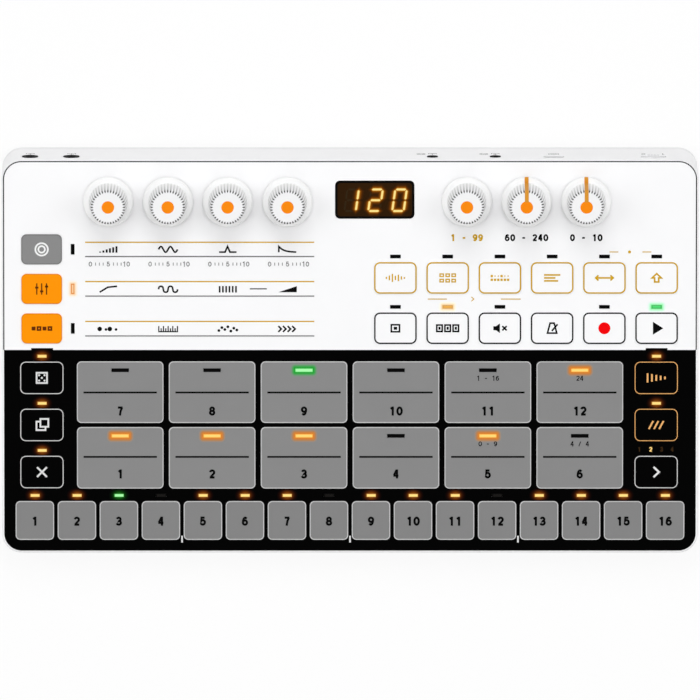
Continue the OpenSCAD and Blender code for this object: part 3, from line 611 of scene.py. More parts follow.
def outline_tree(name):
    """A rounded line of even width round each place."""
    tree, given = start_tree(name, Corner=2.0, Line=0.5)
    width, length = (maths(tree, "SUBTRACT", given[side], given["Line"])
                     for side in ("Width", "Length"))
    path = add(tree, "GeometryNodeCurvePrimitiveQuadrilateral", Width=width, Height=length)
    rounded = tree.nodes.new("GeometryNodeFilletCurve")
    rounded.mode = "POLY"
    for title, value in (("Curve", path.outputs["Curve"]), ("Count", 8),
                         ("Radius", given["Corner"])):
        put(tree, rounded.inputs[title], value)
    section = add(tree, "GeometryNodeCurvePrimitiveQuadrilateral", Width=given["Line"],
                  Height=given["Height"])
    swept = add(tree, "GeometryNodeCurveToMesh", Curve=rounded.outputs["Curve"],
                Profile_Curve=section.outputs["Curve"])
    end_tree(tree, given, swept.outputs["Mesh"])
    return tree


def bar_tree(name):
    """A flat bar on each place, which keeps its own millimetres as a map."""
    tree, given = start_tree(name)
    size = add(tree, "ShaderNodeCombineXYZ", X=given["Width"], Y=given["Length"],
               Z=given["Height"])
    bar = add(tree, "GeometryNodeMeshCube", Size=size.outputs["Vector"])
    mapped = tree.nodes.new("GeometryNodeStoreNamedAttribute")
    mapped.data_type = "FLOAT2"
    mapped.domain = "CORNER"
    own = add(tree, "GeometryNodeInputPosition").outputs["Position"]
    for title, value in (("Name", "UVMap"), ("Geometry", bar.outputs["Mesh"]), ("Value", own)):
        put(tree, mapped.inputs[title], value)
    end_tree(tree, given, mapped.outputs["Geometry"])
    return tree


def turned_tree(name):
    """The given shape, repeated round the axis by turning it."""
    tree, given = start_tree(name, Count=36)
    share = maths(tree, "DIVIDE", 2 * math.pi, given["Count"])
    index = add(tree, "GeometryNodeInputIndex").outputs["Index"]
    turn = add(tree, "ShaderNodeCombineXYZ", Z=maths(tree, "MULTIPLY", index, share))
    repeat = end_tree(tree, given, given["Places"])
    points = add(tree, "GeometryNodePoints", Count=given["Count"])
    put(tree, repeat.inputs["Points"], points.outputs[0])
    put(tree, repeat.inputs["Rotation"], turn.outputs["Vector"])
    return tree


TREES = {"Outlines": outline_tree, "Bars": bar_tree, "Turned": turned_tree}


def baked(name, mesh, **inputs):
    """Runs a tree over a mesh, which it uses up, and returns the plain mesh that comes out."""
    tree = bpy.data.node_groups.get(name) or TREES[name](name)
    holder = bpy.data.objects.new("places", mesh)
    modifier = holder.modifiers.new("repeat", "NODES")
    modifier.node_group = tree
    for item in tree.interface.items_tree:
        if item.name in inputs:
            modifier[item.identifier] = inputs[item.name]
    bpy.context.scene.collection.objects.link(holder)
    depsgraph = bpy.context.evaluated_depsgraph_get()
    plain = bpy.data.meshes.new_from_object(holder.evaluated_get(depsgraph))
    holder.modifiers.remove(modifier)
    bpy.data.objects.remove(holder)
    bpy.data.meshes.remove(mesh)
    return plain


def repeats(name, shape, spots, slot, body="case", **inputs):
    """A piece with the same shape on many places of the panel, as a print if it has no height."""
    mesh = bpy.data.meshes.new("places")
    mesh.from_pydata(spots, [], [])
    inputs.setdefault("Height", 2 * sizes().rise)
    piece(name, baked(shape, mesh, **inputs), None, body)


# ---------------------------------------------------------------- symbols, in millimetres

def wave(width, height, cycles, power=1.0, steps=48):
    """A wave; a power below 1 flattens its tops."""
    values = [math.sin(2 * math.pi * cycles * i / steps) for i in range(steps + 1)]
    return [(width * (i / steps - 0.5), height / 2 * math.copysign(abs(value) ** power, value))
            for i, value in enumerate(values)]


SYMBOLS = {
    "level": [("bar", -3 + 1.2 * i, 0.2 * i - 1, 0.72, 0.4 * (i + 1)) for i in range(6)],
    "tune": [("stroke", wave(7, 2.1, 2))],
    "snap": [("stroke", [(-3.2, -1), (-1, -1), (-0.1, 1.1), (0.8, -1), (3.2, -1)])],
    "decay": [("stroke", [(-3.2, -1.05), (-3.2, 1.1)] + [
        (-3.2 + 6.4 * t / 12, -1.05 + 2.15 * math.exp(-0.3 * t)) for t in range(1, 13)])],
    "squeeze": [("stroke", [(-3.2, -1.1), (-0.2, 0.75), (3.2, 1.1)])],
    "drive": [("stroke", wave(7, 2.2, 2, 0.3))],
    "repeats": [("bar", -3 + 1.2 * i, 0, 0.62, 2.4) for i in range(6)],
    "amount": [("fill", [(-3.4, -1.1), (3.4, -1.1), (3.4, 1.15)])],
    "swing": [("disc", x, y, radius, 20) for x, y, radius in (
        (-3.2, 0, 0.85), (-0.9, -0.2, 0.5), (0.5, 0, 0.85), (2.8, -0.2, 0.5))],
    "division": [("bar", 0, -1.0, 7.3, 0.44)] + [
        ("bar", -3.43 + 0.8575 * i, -0.3 if i % 2 else 0.1, 0.44, 1.1 if i % 2 else 2.0)
        for i in range(9)],
    "scatter": [("disc", -3.3 + 1.1 * i, y, 0.52, 16)
                for i, y in enumerate((-0.6, 0.5, -0.2, 0.8, -0.8, 0.3, -0.4))],
    "force": [("stroke", [(x - 0.5, -1.1), (x + 0.6, 0), (x - 0.5, 1.1)])
              for x in (-2.9, -1.2, 0.5, 2.2)],
    "drum_mode": [("ring", 0, 0, 2.3), ("ring", 0, 0, 1.2)],
    "effects_mode": [("bar", x, *rest) for x, y in ((-1.8, 0.5), (0, -0.9), (1.8, 0.9))
                     for rest in ((0, 0.46, 4.2), (y, 1.2, 0.7))],
    "sequencer_mode": [("box", -3 + 2 * i, 0, 1.1, 1.1) if i % 2 else
                       ("bar", -3 + 2 * i, 0, 1.42, 1.42) for i in range(4)],
    "sound": [("bar", -3.3 + 1.1 * i, 0, 0.52, length)
              for i, length in enumerate((0.8, 1.8, 3.0, 1.6, 2.4, 1.2, 0.6))],
    "kit": [("box", x, y, 1.25, 0.95, 0.465) for x in (-2.2, 0, 2.2) for y in (-1.0, 1.0)],
    "pattern": [("disc", -3 + 1.2 * i, y, 0.26, 12) if i * turn % 3 else
                ("bar", -3 + 1.2 * i, y, 0.85, 0.85)
                for y, turn in ((0.7, 2), (-0.7, 3)) for i in range(6)],
    "song": [("bar", width / 2 - 3, 1.1 - 1.1 * i, width)
             for i, width in enumerate((6.0, 4.2, 5.2))],
    "length": [("bar", 0, 0, 5.4)] + [
        ("stroke", [(side * 2.2, 0.95), (side * 3.2, 0), (side * 2.2, -0.95)])
        for side in (-1, 1)],
    "alt": [("stroke", [(0, 1.6), (1.7, 0), (0.75, 0), (0.75, -1.5), (-0.75, -1.5), (-0.75, 0),
                        (-1.7, 0)], None, True)],
    "select": [("box", 0, 0, 3.0, 2.6), ("bar", 0, 0, 1.3, 1.1)],
    "select_all": [(kind, x, 0, *size) for x in (-3.0, 0, 3.0)
                   for kind, size in (("box", (2.0, 2.4)), ("bar", (0.8, 1.1)))],
    "mute": [("fill", [(-2.4, -0.75), (-1.4, -0.75), (0, -1.8), (0, 1.8), (-1.4, 0.75),
                       (-2.4, 0.75)]),
             ("stroke", [(0.9, -0.8), (2.5, 0.8)]), ("stroke", [(0.9, 0.8), (2.5, -0.8)])],
    "tap_tempo": [("stroke", [(-0.75, 1.9), (0.75, 1.9), (1.7, -1.8), (-1.7, -1.8)], None, True),
                  ("stroke", [(-0.1, -1.0), (2.0, 1.5)])],
    "record": [("disc", 0, 0, 2.2, 48)],
    "play": [("fill", [(-1.35, -2.4), (2.45, 0), (-1.35, 2.4)])],
    "random": [("box", 0, 0, 3.8, 3.8)] + [
        ("disc", x, y, 0.38, 16) for x, y in ((-1, -1), (1, 1), (0, 0), (-1, 1), (1, -1))],
    "copy": [("box", 0.9, 0.8, 2.9, 2.9),
             ("stroke", [(-0.6, 1.25), (-2.0, 1.25), (-2.0, -1.9), (1.3, -1.9), (1.3, -0.7)])],
    "cancel": [("stroke", [(-1.8, -y), (1.8, y)], 0.68) for y in (1.8, -1.8)],
    "stutter": [("bar", -3.2 + 1.6 * i, 0, 0.62, 3.4 - 0.6 * i) for i in range(5)],
    "roll": [("stroke", [(x - 0.8, -1.5), (x + 0.8, 1.5)]) for x in (-1.9, 0, 1.9)],
    "next": [("stroke", [(-0.95, -1.9), (1.05, 0), (-0.95, 1.9)], 0.72)],
}

# The rows of symbols below the knobs: the row's height, and its gold and its grey line's.
ROWS = (
    (113.15, 115.5, 110.2, ("level", "tune", "snap", "decay")),
    (98.35, 100.9, 95.5, ("squeeze", "drive", "repeats", "amount")),
    (83.6, 86.1, 80.7, ("swing", "division", "scatter", "force")),
)


# ---------------------------------------------------------------- operators

FOIL = {"grain": 0.12, "depth": 0.002, "tint": 0.006, "specular": 0.2}
DARK_FOIL = {"grain": 0.12, "tint": 0.05, "specular": 0.012}


class DRUM_OT_case(bpy.types.Operator):
    """Gives the case, its fittings and what is inside their finishes"""
    bl_idname = "drum.case"
    bl_label = "Case and Insides"

    def execute(self, context):
        paints = colours()
        dress("case_plastic", paints.case, "top_shell", grain=0.35, depth=0.006, tint=0.01)
        dress("base_plastic", shade(paints.case, 0.93), "bottom_shell", "battery_door",
              rough=0.6, grain=0.5, depth=0.02, tint=0.015)
        dress("white_foil", paints.foil, "upper_overlay", **FOIL)
        dress("black_foil", paints.dark, "lower_overlay", depth=0.002, **DARK_FOIL)
        dress("foot_rubber", (0.02, 0.02, 0.021), "rubber_feet", rough=0.85, grain=0.6,
              depth=0.03, tint=0.15, specular=0.2)
        dress("black_screw", (0.03, 0.03, 0.032), "screws", rough=0.42, tint=0.1, metallic=0.8)
        coat(board_finish("solder_mask"), "main_board", "socket_board")
        dress("socket_plastic", (0.002, 0.002, 0.002), "audio_sockets", "midi_sockets",
              grain=0.3, tint=0.1, specular=0.03)
        dress("drawn_steel", (0.62, 0.62, 0.63), "usb_socket", "power_switch_body",
              "battery_contacts", rough=0.3, grain=0.2, depth=0.004, tint=0.05, metallic=1.0,
              stretch=(0.1, 1, 1))
        dress("switch_plastic", paint(222, 222, 223), "power_switch_slider", rough=0.45,
              grain=0.3)
        dress("dome_metal", (0.6, 0.58, 0.55), "dome_switches", "rotary_bodies", rough=0.35,
              grain=0.3, depth=0.004, tint=0.05, metallic=0.9)
        dress("module_plastic", (0.01, 0.01, 0.01), "display_module", grain=0.3, tint=0.1)
        coat(sleeve_finish("cell_sleeve", "batteries"), "batteries")
        return {"FINISHED"}


class DRUM_OT_controls(bpy.types.Operator):
    """Gives the knobs, shafts, keys and touch pads their finishes"""
    bl_idname = "drum.controls"
    bl_label = "Knobs, Keys and Pads"

    def knob_finish(self):
        """White plastic: the skirt is painted a little paler than the grip, painted light on the
        skirt and painted shade on the grip.
        """
        made = Finish("knob_plastic")
        grain = made.noise(0.3)
        # Painted light and shade by height above the panel: paler on the skirt, darker on the grip.
        skirt_light_grip_shade = made.mixed(made.height(2.5, 5.0), paint(247, 247, 247), paint(238, 238, 239))
        made.set(Base_Color=made.mixed(made.spread(grain, 0, 0.1), skirt_light_grip_shade, paint(236, 236, 236)),
                 Roughness=made.spread(grain, 0.32, 0.48), Specular_IOR_Level=0.3)
        made.bump(grain, 1.0, 4e-6)
        return made.material

    def execute(self, context):
        paints = colours()
        coat(self.knob_finish(), *[k + "_knob" for k in KNOBS])
        dress("shaft_steel", (0.6, 0.6, 0.6), *[k + "_shaft" for k in KNOBS], rough=0.28,
              grain=0.15, depth=0.004, tint=0.05, metallic=1.0)
        dress("grey_key", paints.pad, "drum_mode_button", grain=0.12, depth=0.003, tint=0.01,
              specular=0.15)
        dress("orange_key", paints.orange, "effects_mode_button", "sequencer_mode_button",
              grain=0.12, depth=0.003, tint=0.015, specular=0.03)
        dress("white_key", paints.foil, *[k + "_button" for k in GOLD_KEYS + PLAIN_KEYS], **FOIL)
        dress("black_key", paints.dark, *[k + "_button" for k in SIDE_KEYS], depth=0.003,
              **DARK_FOIL)
        for node, share in (("drum_pads", 1.0), ("step_pads", 0.93)):
            dress(node + "_foil", shade(paints.pad, share), node, rough=0.6, grain=0.18,
                  depth=0.006, tint=0.012, specular=0.12)
        return {"FINISHED"}


class DRUM_OT_panel_print(bpy.types.Operator):
    """Prints the lines, symbols and numbers on the panel"""
    bl_idname = "drum.panel_print"
    bl_label = "Panel Print"

    LINE_LENGTH, LINE_ASIDE = 84.2, 0.65
    RANGE_V, RANGE_HEIGHT = 117.2, 2.6  # the row of ranges beside the knobs
    MARK_V, MARK_HEIGHT, MARK_BOLD = 107.4, 1.8, 0.17  # the small scales below the knobs
    MARK_NUMBERS = (("0", -6.6), ("5", 0), ("10", 6.6))
    MARK_TICKS = (-4.7, -3.3, -1.9, 1.9, 3.3, 4.7)
    GOLD_BARS = ((32.095588, 94.4, 6.985294), (59.080882, 94.4, 7.279412),
                 (96.966912, 111.9, 3.198529), (109.0625, 111.9, 3.272059))
    BANK_V, BANK_HEIGHT = 38.55, 1.75
    TICK_COLUMNS, TICK_V = (-61.8, 0, 61.8), 5.1
    RIM_CORNER = 6.1

    def symbols(self, columns):
        """The long lines, the symbols and the small scales below the knobs."""
        middle = (columns[0] + columns[3]) / 2 + self.LINE_ASIDE
        for index, name in ((1, "gold"), (2, "grey")):
            repeats(name + "_lines", "Bars", [(middle, row[index], 0) for row in ROWS],
                    "overlay_white", Width=self.LINE_LENGTH, Length=sizes().scale_line,
                    Finish=finish(name))
        pen = Pen()
        for v, _, _, names in ROWS:
            for u, name in zip(columns, names):
                pen.move(u, v - 0.3).symbol(name)
        pen.move(0, 0)
        pen.number("60 - 240", columns[5], self.RANGE_V, self.RANGE_HEIGHT)
        pen.number("0 - 10", columns[6], self.RANGE_V, self.RANGE_HEIGHT)
        pen.bar(-33.7, 98.2, 6.2, 0.4)
        piece("black_symbols", pen.mesh(), finish("black"))
        pen = Pen()
        pen.number("1 - 99", columns[4], self.RANGE_V, self.RANGE_HEIGHT)
        for bar in self.GOLD_BARS:
            pen.bar(*bar, 0.36)
        pen.stroke([(44.6, 93.6), (45.5, 94.4), (44.6, 95.2)], 0.32)
        pen.disc(102.7, 111.9, 0.55, 20)
        piece("gold_symbols", pen.mesh(), finish("gold"))
        pen = Pen()
        for u in columns[:4]:
            for text, x in self.MARK_NUMBERS:
                pen.number(text, u + x, self.MARK_V, self.MARK_HEIGHT, self.MARK_BOLD)
            for x in self.MARK_TICKS:
                pen.bar(u + x, self.MARK_V, 0.28, 1.1)
        piece("grey_marks", pen.mesh(), finish("grey"))

    def banks(self):
        """The numbers of the banks, of which the second is lit."""
        inks = (("bank_number_lit", lit_finish("bank_light", paint(255, 214, 130)),
                 (("2", 110.6),)),
                ("bank_numbers", surface("dim_print", paint(52, 34, 14), grain=0.12, depth=0.002,
                                         specular=0.05),
                 (("1", 106.4), ("3", 114.6), ("4", 118.5))))
        for name, material, numbers in inks:
            pen = Pen()
            for text, u in numbers:
                pen.number(text, u, self.BANK_V, self.BANK_HEIGHT)
            piece(name, pen.mesh(), material)

    def rim(self):
        """The gap round the foils: filled, with a dark strip of painted shadow in the groove behind
        and a black edge in front.
        """
        u, v, width, length, _ = place("upper_overlay")
        gap, rear, border = sizes().groove, v + length / 2, v - length / 2
        for name, aside, behind, line, w, finish_used in (
                ("rim_filler", gap / 2, gap / 2, gap, -0.05, finish("foil")),
                # A dark strip of painted shadow along the groove at the rim's inner edge.
                ("rim_groove", gap + 0.06, gap + 0.32, 0.4, 0.02,
                 ink("groove_ink", paint(30, 30, 32)))):
            pen = Pen(w, (u, 0), 0.0)
            pen.stroke(bow(width / 2 + aside, rear + behind, self.RIM_CORNER + aside,
                           border + 0.1), line)
            piece(name, pen.mesh(), finish_used)
        u, v, width, length, _ = place("lower_overlay")
        line = gap + 0.04
        path = bow(width / 2 + line / 2 - 0.04, length / 2 - v + line / 2 - 0.12, 6.2,
                   -border - 0.05)
        pen = Pen(0.0, (u, 0), 0.02)
        pen.stroke([(-x, -y) for x, y in path], line)
        piece("black_edge", pen.mesh(), ink("edge_ink", colours().dark))

    def execute(self, context):
        self.symbols([place(k + "_knob")[0] for k in KNOBS])
        self.banks()
        repeats("beat_ticks", "Bars", [(u, self.TICK_V, 0) for u in self.TICK_COLUMNS],
                "overlay_black", Width=0.6, Length=2.5, Finish=finish("pale"))
        self.rim()
        return {"FINISHED"}


class DRUM_OT_key_print(bpy.types.Operator):
    """Prints an outline and a symbol on every key, and gives each mode key a darker ring of painted
    shade at its edge instead of an outline
    """
    bl_idname = "drum.key_print"
    bl_label = "Key Print"

    CORNER, WEB_CORNER = 1.9, 1.95
    WEB_W, WEB_HEIGHT = -0.1, 0.14

    def execute(self, context):
        paints, gap = colours(), sizes().key_gap
        cream = ink("cream_ink", paint(238, 178, 110))
        white = ink("white_ink", paint(240, 240, 240))
        brown = ink("brown_ink", paint(96, 42, 8))
        inks = {"drum_mode": white, "effects_mode": brown, "sequencer_mode": brown,
                "stutter": cream, "roll": cream, "record": finish("red")}
        # The mode keys' rings: darker copies of their own colour, painted shade at their edges.
        orange_edge_shade = ink("dark_orange_ink", paint(232, 140, 20))
        edges = {"drum_mode": ink("dark_grey_ink", shade(paints.pad, 0.8)),
                 "effects_mode": orange_edge_shade, "sequencer_mode": orange_edge_shade,
                 "stutter": cream, "roll": cream, "record": finish("black")}
        webs = {"white": ink("white_web", paints.foil), "black": ink("black_web", paints.dark)}
        for key in MODE_KEYS + GOLD_KEYS + PLAIN_KEYS + SIDE_KEYS:
            u, v, width, length, top = place(key + "_button")
            half, line, plain = "white", sizes().key_line, finish("black")
            if key in SIDE_KEYS:
                half, line, plain = "black", sizes().side_line, finish("pale")
            elif key in MODE_KEYS:
                # A mode key's ring of painted edge shade, right at its edge.
                line = sizes().mode_line
            elif key in GOLD_KEYS:
                plain = finish("gold")
            inset = 0 if key in MODE_KEYS else sizes().line_inset
            pen = Pen(top, (u, v))
            pen.symbol(key)
            repeats(key + "_web", "Outlines", [(u, v, self.WEB_W)], "overlay_" + half,
                    Width=width + 2 * gap, Length=length + 2 * gap, Corner=self.WEB_CORNER,
                    Line=gap, Height=self.WEB_HEIGHT, Finish=webs[half])
            piece(key + "_symbol", pen.mesh(), inks.get(key, plain), key + "_key")
            repeats(key + "_outline", "Outlines", [(u, v, top)], "key_" + half, key + "_key",
                    Width=width - 2 * inset, Length=length - 2 * inset, Corner=self.CORNER,
                    Line=line, Finish=edges.get(key, plain))
        return {"FINISHED"}


class DRUM_OT_pad_print(bpy.types.Operator):
    """Prints the frames, dividers and numbers on the touch pads and steps"""
    bl_idname = "drum.pad_print"
    bl_label = "Pad and Step Print"

    CORNER = 1.5
    DIVIDER = {"Width": 27.0, "Length": 0.66}
    REAR_ROW = 6  # how many pads the rear row has
    RANGES = ((4, "1 - 16"), (5, "24"), (10, "0 - 9"), (11, "4 / 4"))

    def execute(self, context):
        edge = ink("pad_edge_ink", colours().pad_edge)
        pads, steps = places("drum_pads"), places("step_pads")
        for name, spots in (("drum_pads", pads), ("step_pads", steps)):
            _, _, width, length, top = spots[0]
            repeats(name + "_frames", "Outlines", [(s[0], s[1], top) for s in spots], "pad_grey",
                    Width=width, Length=length, Corner=self.CORNER, Line=sizes().pad_line,
                    Finish=edge)
        top = pads[0][4]
        pen, dividers = Pen(top), []
        for i, (u, v, *_) in enumerate(pads):
            if i < self.REAR_ROW:
                number, below, divider = i + self.REAR_ROW + 1, 7.0, v - 0.1
            else:
                number, below, divider = i - self.REAR_ROW + 1, 6.0, v + 0.35
            dividers.append((u, divider, top))
            pen.number(str(number), u, v - below, sizes().number)
        repeats("pad_dividers", "Bars", dividers, "pad_grey", Finish=finish("black"),
                **self.DIVIDER)
        for i, text in self.RANGES:
            pen.number(text, pads[i][0], pads[i][1] + 5.2, 1.8, 0.17)
        piece("pad_numbers", pen.mesh(), finish("black"))
        pen = Pen(steps[0][4])
        for i, s in enumerate(steps):
            pen.number(str(i + 1), s[0], s[1] - 0.25, sizes().number)
        piece("step_numbers", pen.mesh(), finish("black"))
        return {"FINISHED"}


class DRUM_OT_rear_print(bpy.types.Operator):
    """Prints a small mark under each socket and the switch on the rear wall"""
    bl_idname = "drum.rear_print"
    bl_label = "Rear Print"

    MARK_W = -16.6  # how far the marks lie below the panel

    def arrow(self, pen, inwards):
        """An arrow into or out of a tray."""
        tip, tail, barb = (-0.5, 1.7, 0.75) if inwards else (1.7, -0.5, -0.75)
        pen.stroke([(0, tail), (0, tip)])
        pen.stroke([(-0.75, tip + barb), (0, tip), (0.75, tip + barb)])
        pen.stroke([(-1.4, 0.1), (-1.4, -1.2), (1.4, -1.2), (1.4, 0.1)])

    def ports(self, pen):
        """A ring of five dots."""
        pen.ring(0, 0, 1.5)
        for x, y in arc(0, 0, 0.9, 0.9, 0, 180, 4):
            pen.disc(x, y, 0.2, 12)

    def execute(self, context):
        shell = place("top_shell")
        rear_v = shell[1] + shell[3] / 2
        pen = Pen(line=sizes().rear_line)
        for node in ("audio_sockets", "midi_sockets"):
            for (u, *_), inwards in zip(places(node), (True, False)):
                self.arrow(pen.move(-u, self.MARK_W), inwards)
                if node == "midi_sockets":
                    self.ports(pen.move(-u + 4.2, self.MARK_W + 0.2))
        pen.move(-place("usb_socket")[0], self.MARK_W).box(0, 0.3, 3.6, 1.5)
        pen.bar(0, 0.3, 2.0)
        switch = place("power_switch_slider")
        for text, x in (("0", 3.6), ("1", -3.6)):
            pen.move(-switch[0], self.MARK_W).number(text, x, 0.3, 2.2, 0.16)
        mesh = pen.mesh()
        mesh.transform(Matrix(((-1, 0, 0, 0), (0, 0, 1, rear_v), (0, 1, 0, 0), (0, 0, 0, 1))))
        piece("rear_marks", mesh, finish("grey"))
        return {"FINISHED"}


# How a glow runs out over each ground: the places of its steps from the light to the glow's end,
# the share that shines, how far it reaches in millimetres, how much narrower it is across, and
# where a lens turns from its core into its rim.
GROUNDS = {
    "pad": ((0, 0.3, 0.55, 0.8), 0.5, 1.9, 1.0, (0.05, 0.5)),
    "black": ((0, 0.27, 0.4, 0.53, 0.66, 0.79, 0.9), 1.0, 2.9, 0.74, (0.05, 0.5)),
    "white": ((0, 0.2, 0.44, 0.68), 0.2, 1.5, 1.0, (0.0, 0.14)),
    "mode": ((0, 0.3, 0.6), 0.2, 1.4, 1.0, (0.0, 0.14)),
}

# The colours of the lit lights on each ground: core, rim, and the steps of the glow.
LIT = {
    ("amber", "pad"): ((255, 222, 124), (252, 170, 60), (220, 132, 40), (206, 124, 50),
                       (176, 128, 84), (150, 136, 122)),
    ("amber", "black"): ((255, 227, 136), (248, 196, 108), (150, 84, 24), (134, 76, 14),
                         (107, 51, 8), (78, 34, 7), (48, 19, 5), (24, 6, 2), (13, 3, 2)),
    ("amber", "white"): ((242, 176, 74), (212, 158, 84), (244, 208, 152), (249, 222, 174),
                         (252, 242, 216), (251, 248, 234)),
    ("amber", "mode"): ((250, 214, 172), (224, 142, 66), (250, 208, 160), (251, 226, 196),
                        (250, 241, 228)),
    ("green", "pad"): ((178, 255, 180), (120, 232, 136), (26, 158, 44), (36, 160, 56),
                       (84, 152, 96), (120, 144, 124)),
    ("green", "black"): ((176, 255, 178), (130, 232, 132), (40, 130, 40), (28, 112, 28),
                         (14, 79, 12), (8, 52, 7), (4, 34, 6), (2, 14, 3), (2, 8, 3)),
    ("green", "white"): ((84, 232, 124), (62, 176, 84), (130, 240, 156), (158, 246, 180),
                         (200, 250, 216), (226, 250, 236)),
}


class DRUM_OT_lights(bpy.types.Operator):
    """Puts a lens on every light guide, and lights up what is round the lit ones"""
    bl_idname = "drum.lights"
    bl_label = "Lights"

    ON_PADS = 0.2  # a light that ends higher than this stands in a pad
    LENS_HEIGHT, GLOW_HEIGHT, GLOW_SUNK = 0.08, 0.03, 0.06
    SLOTS = {"amber": "light_amber", "green": "light_green", "unlit": "light_off"}

    def kinds(self):
        """The spots of the lights, by state and by the ground that they lie in."""
        foil = place("lower_overlay")
        border = foil[1] + foil[3] / 2
        found = {}
        for state in ("amber", "green", "unlit"):
            for light in places(state + "_lights"):
                _, v, width, length, top = light
                ground = ("pad" if top > self.ON_PADS else "mode" if length > width
                          else "white" if v > border else "black")
                found.setdefault((state, ground), []).append(light)
        return found

    def glow(self, name, colour, steps, ground, spots, slot, size):
        """Painted glow of light on the surface round some lights of one size."""
        at, share, reach, narrow, _ = GROUNDS[ground]
        steps = list(zip(at, (paint(*step) for step in steps)))
        repeats(name, "Bars", spots, slot, Width=size[0] + 2 * reach / narrow + 0.2,
                Length=size[1] + 2 * reach + 0.2, Height=self.GLOW_HEIGHT,
                Finish=glow_finish(name, colour, steps, share, *size, reach, narrow,
                                   0.012 if ground == "black" else 0.15))

    def execute(self, context):
        paints = colours()
        base = {"pad": paints.pad, "black": paints.dark, "white": paints.foil,
                "mode": paints.foil}
        settings = {"rough": 0.35, "grain": 0.3, "depth": 0.004}
        unlit = surface("unlit_lens", paint(4, 4, 4), specular=0.02, **settings)
        hidden = surface("unlit_lens_dark", paint(14, 12, 10), specular=0.06, **settings)
        for (state, ground), found in self.kinds().items():
            width, length, top = found[0][2:]
            aside = 0.0
            if ground == "black":
                width, length, aside = width - 0.52, length - 0.2, 0.1
            if state == "unlit":
                finish_used = hidden if ground == "black" else unlit
            else:
                core, rim, *steps = LIT[state, ground]
                finish_used = lens_finish(f"{state}_{ground}_lens", paint(*core), paint(*rim),
                                          width, length, GROUNDS[ground][4])
            repeats(f"{state}_{ground}_lenses", "Bars", [(f[0] + aside, f[1], top) for f in found],
                    self.SLOTS[state], Width=width, Length=length, Height=self.LENS_HEIGHT,
                    Finish=finish_used)
            if state != "unlit":
                self.glow(f"{state}_{ground}_glow", base[ground], steps, ground,
                          [(f[0] + aside, f[1], top - self.GLOW_SUNK) for f in found],
                          self.SLOTS[state], (0, 0) if ground == "black" else (width, length))
        coat(lit_finish("amber_guide", paint(132, 76, 16)), "amber_lights")
        coat(lit_finish("green_guide", paint(28, 110, 30)), "green_lights")
        coat(unlit, "unlit_lights")
        return {"FINISHED"}


class DRUM_OT_display(bpy.types.Operator):
    """Makes the display's smoked window, its rim, its seven-segment digits and a painted glow round
    the lit ones
    """
    bl_idname = "drum.display"
    bl_label = "Display"

    SEGMENTS = {"0": "abcdef", "1": "bc", "2": "abged"}
    DIGIT_PLACES = (("1", -8.52), ("2", 0.28), ("0", 9.08))
    # Painted glow round the lit digits: how far each layer grows past the segments, and its colour.
    SHINE = ((1.8, (51, 28, 6)), (1.5, (60, 31, 4)), (1.22, (72, 36, 3)), (0.95, (88, 44, 3)),
             (0.72, (108, 56, 4)), (0.5, (132, 74, 7)), (0.33, (164, 98, 14)),
             (0.17, (206, 140, 42)))
    SEGMENT, LEAN, WIDTH_SHARE = 0.68, math.tan(math.radians(8)), 0.565

    def digit(self, pen, which, u, v, grow, lit):
        """One slanted digit: a bar, grown on all sides, for each segment that is lit or unlit."""
        line, tall = self.SEGMENT, sizes().digit
        w, h = (tall * self.WIDTH_SHARE - line) / 2, (tall - line) / 2
        gap, reach = line * 0.4, line / 2 + grow
        ends = {"a": ((-w, h), (w, h)), "g": ((-w, 0), (w, 0)), "d": ((-w, -h), (w, -h)),
                "f": ((-w, 0), (-w, h)), "b": ((w, 0), (w, h)), "e": ((-w, -h), (-w, 0)),
                "c": ((w, -h), (w, 0))}
        for name, (start, end) in ends.items():
            if (name in self.SEGMENTS[which]) != lit:
                continue
            a, b = Vector(start), Vector(end)
            along = (b - a).normalized()
            across = Vector((-along.y, along.x)) * reach
            a, b = a + along * (gap - grow), b - along * (gap - grow)
            tip = along * reach
            shape = (a, a + tip - across, b - tip - across, b, b - tip + across,
                     a + tip + across)
            pen.fill([(u + p.x + p.y * self.LEAN, v + p.y) for p in shape])

    def execute(self, context):
        dress("smoked_window", paint(45, 26, 7), "display_window", rough=0.12, grain=1.2,
              depth=0.001, tint=0.08, specular=0.02, spread_rough=0.04)
        u, v, width, length, top = place("display_window")
        repeats("window_rim", "Outlines", [(u, v, top)], "display_dark", Width=width,
                Length=length, Corner=1.6, Line=0.8, Finish=finish("black"))
        layers = [(f"digit_glow_{i}", grow, 0.003 * (i + 1),
                   lit_finish(f"digit_glow_{i}", paint(*colour)), True)
                  for i, (grow, colour) in enumerate(self.SHINE)]
        layers += [("digit_segments", 0.0, 0.03, lit_finish("digit_light", paint(255, 232, 146)),
                    True),
                   ("digit_segments_off", 0.0, 0.002,
                    surface("digit_off", paint(46, 32, 13), rough=0.3, specular=0.05), False)]
        for name, grow, rise, material, lit in layers:
            pen = Pen(top, rise=rise)
            for which, offset in self.DIGIT_PLACES:
                self.digit(pen, which, u + offset, v - 0.2, grow, lit)
            piece(name, pen.mesh(), material)
        return {"FINISHED"}


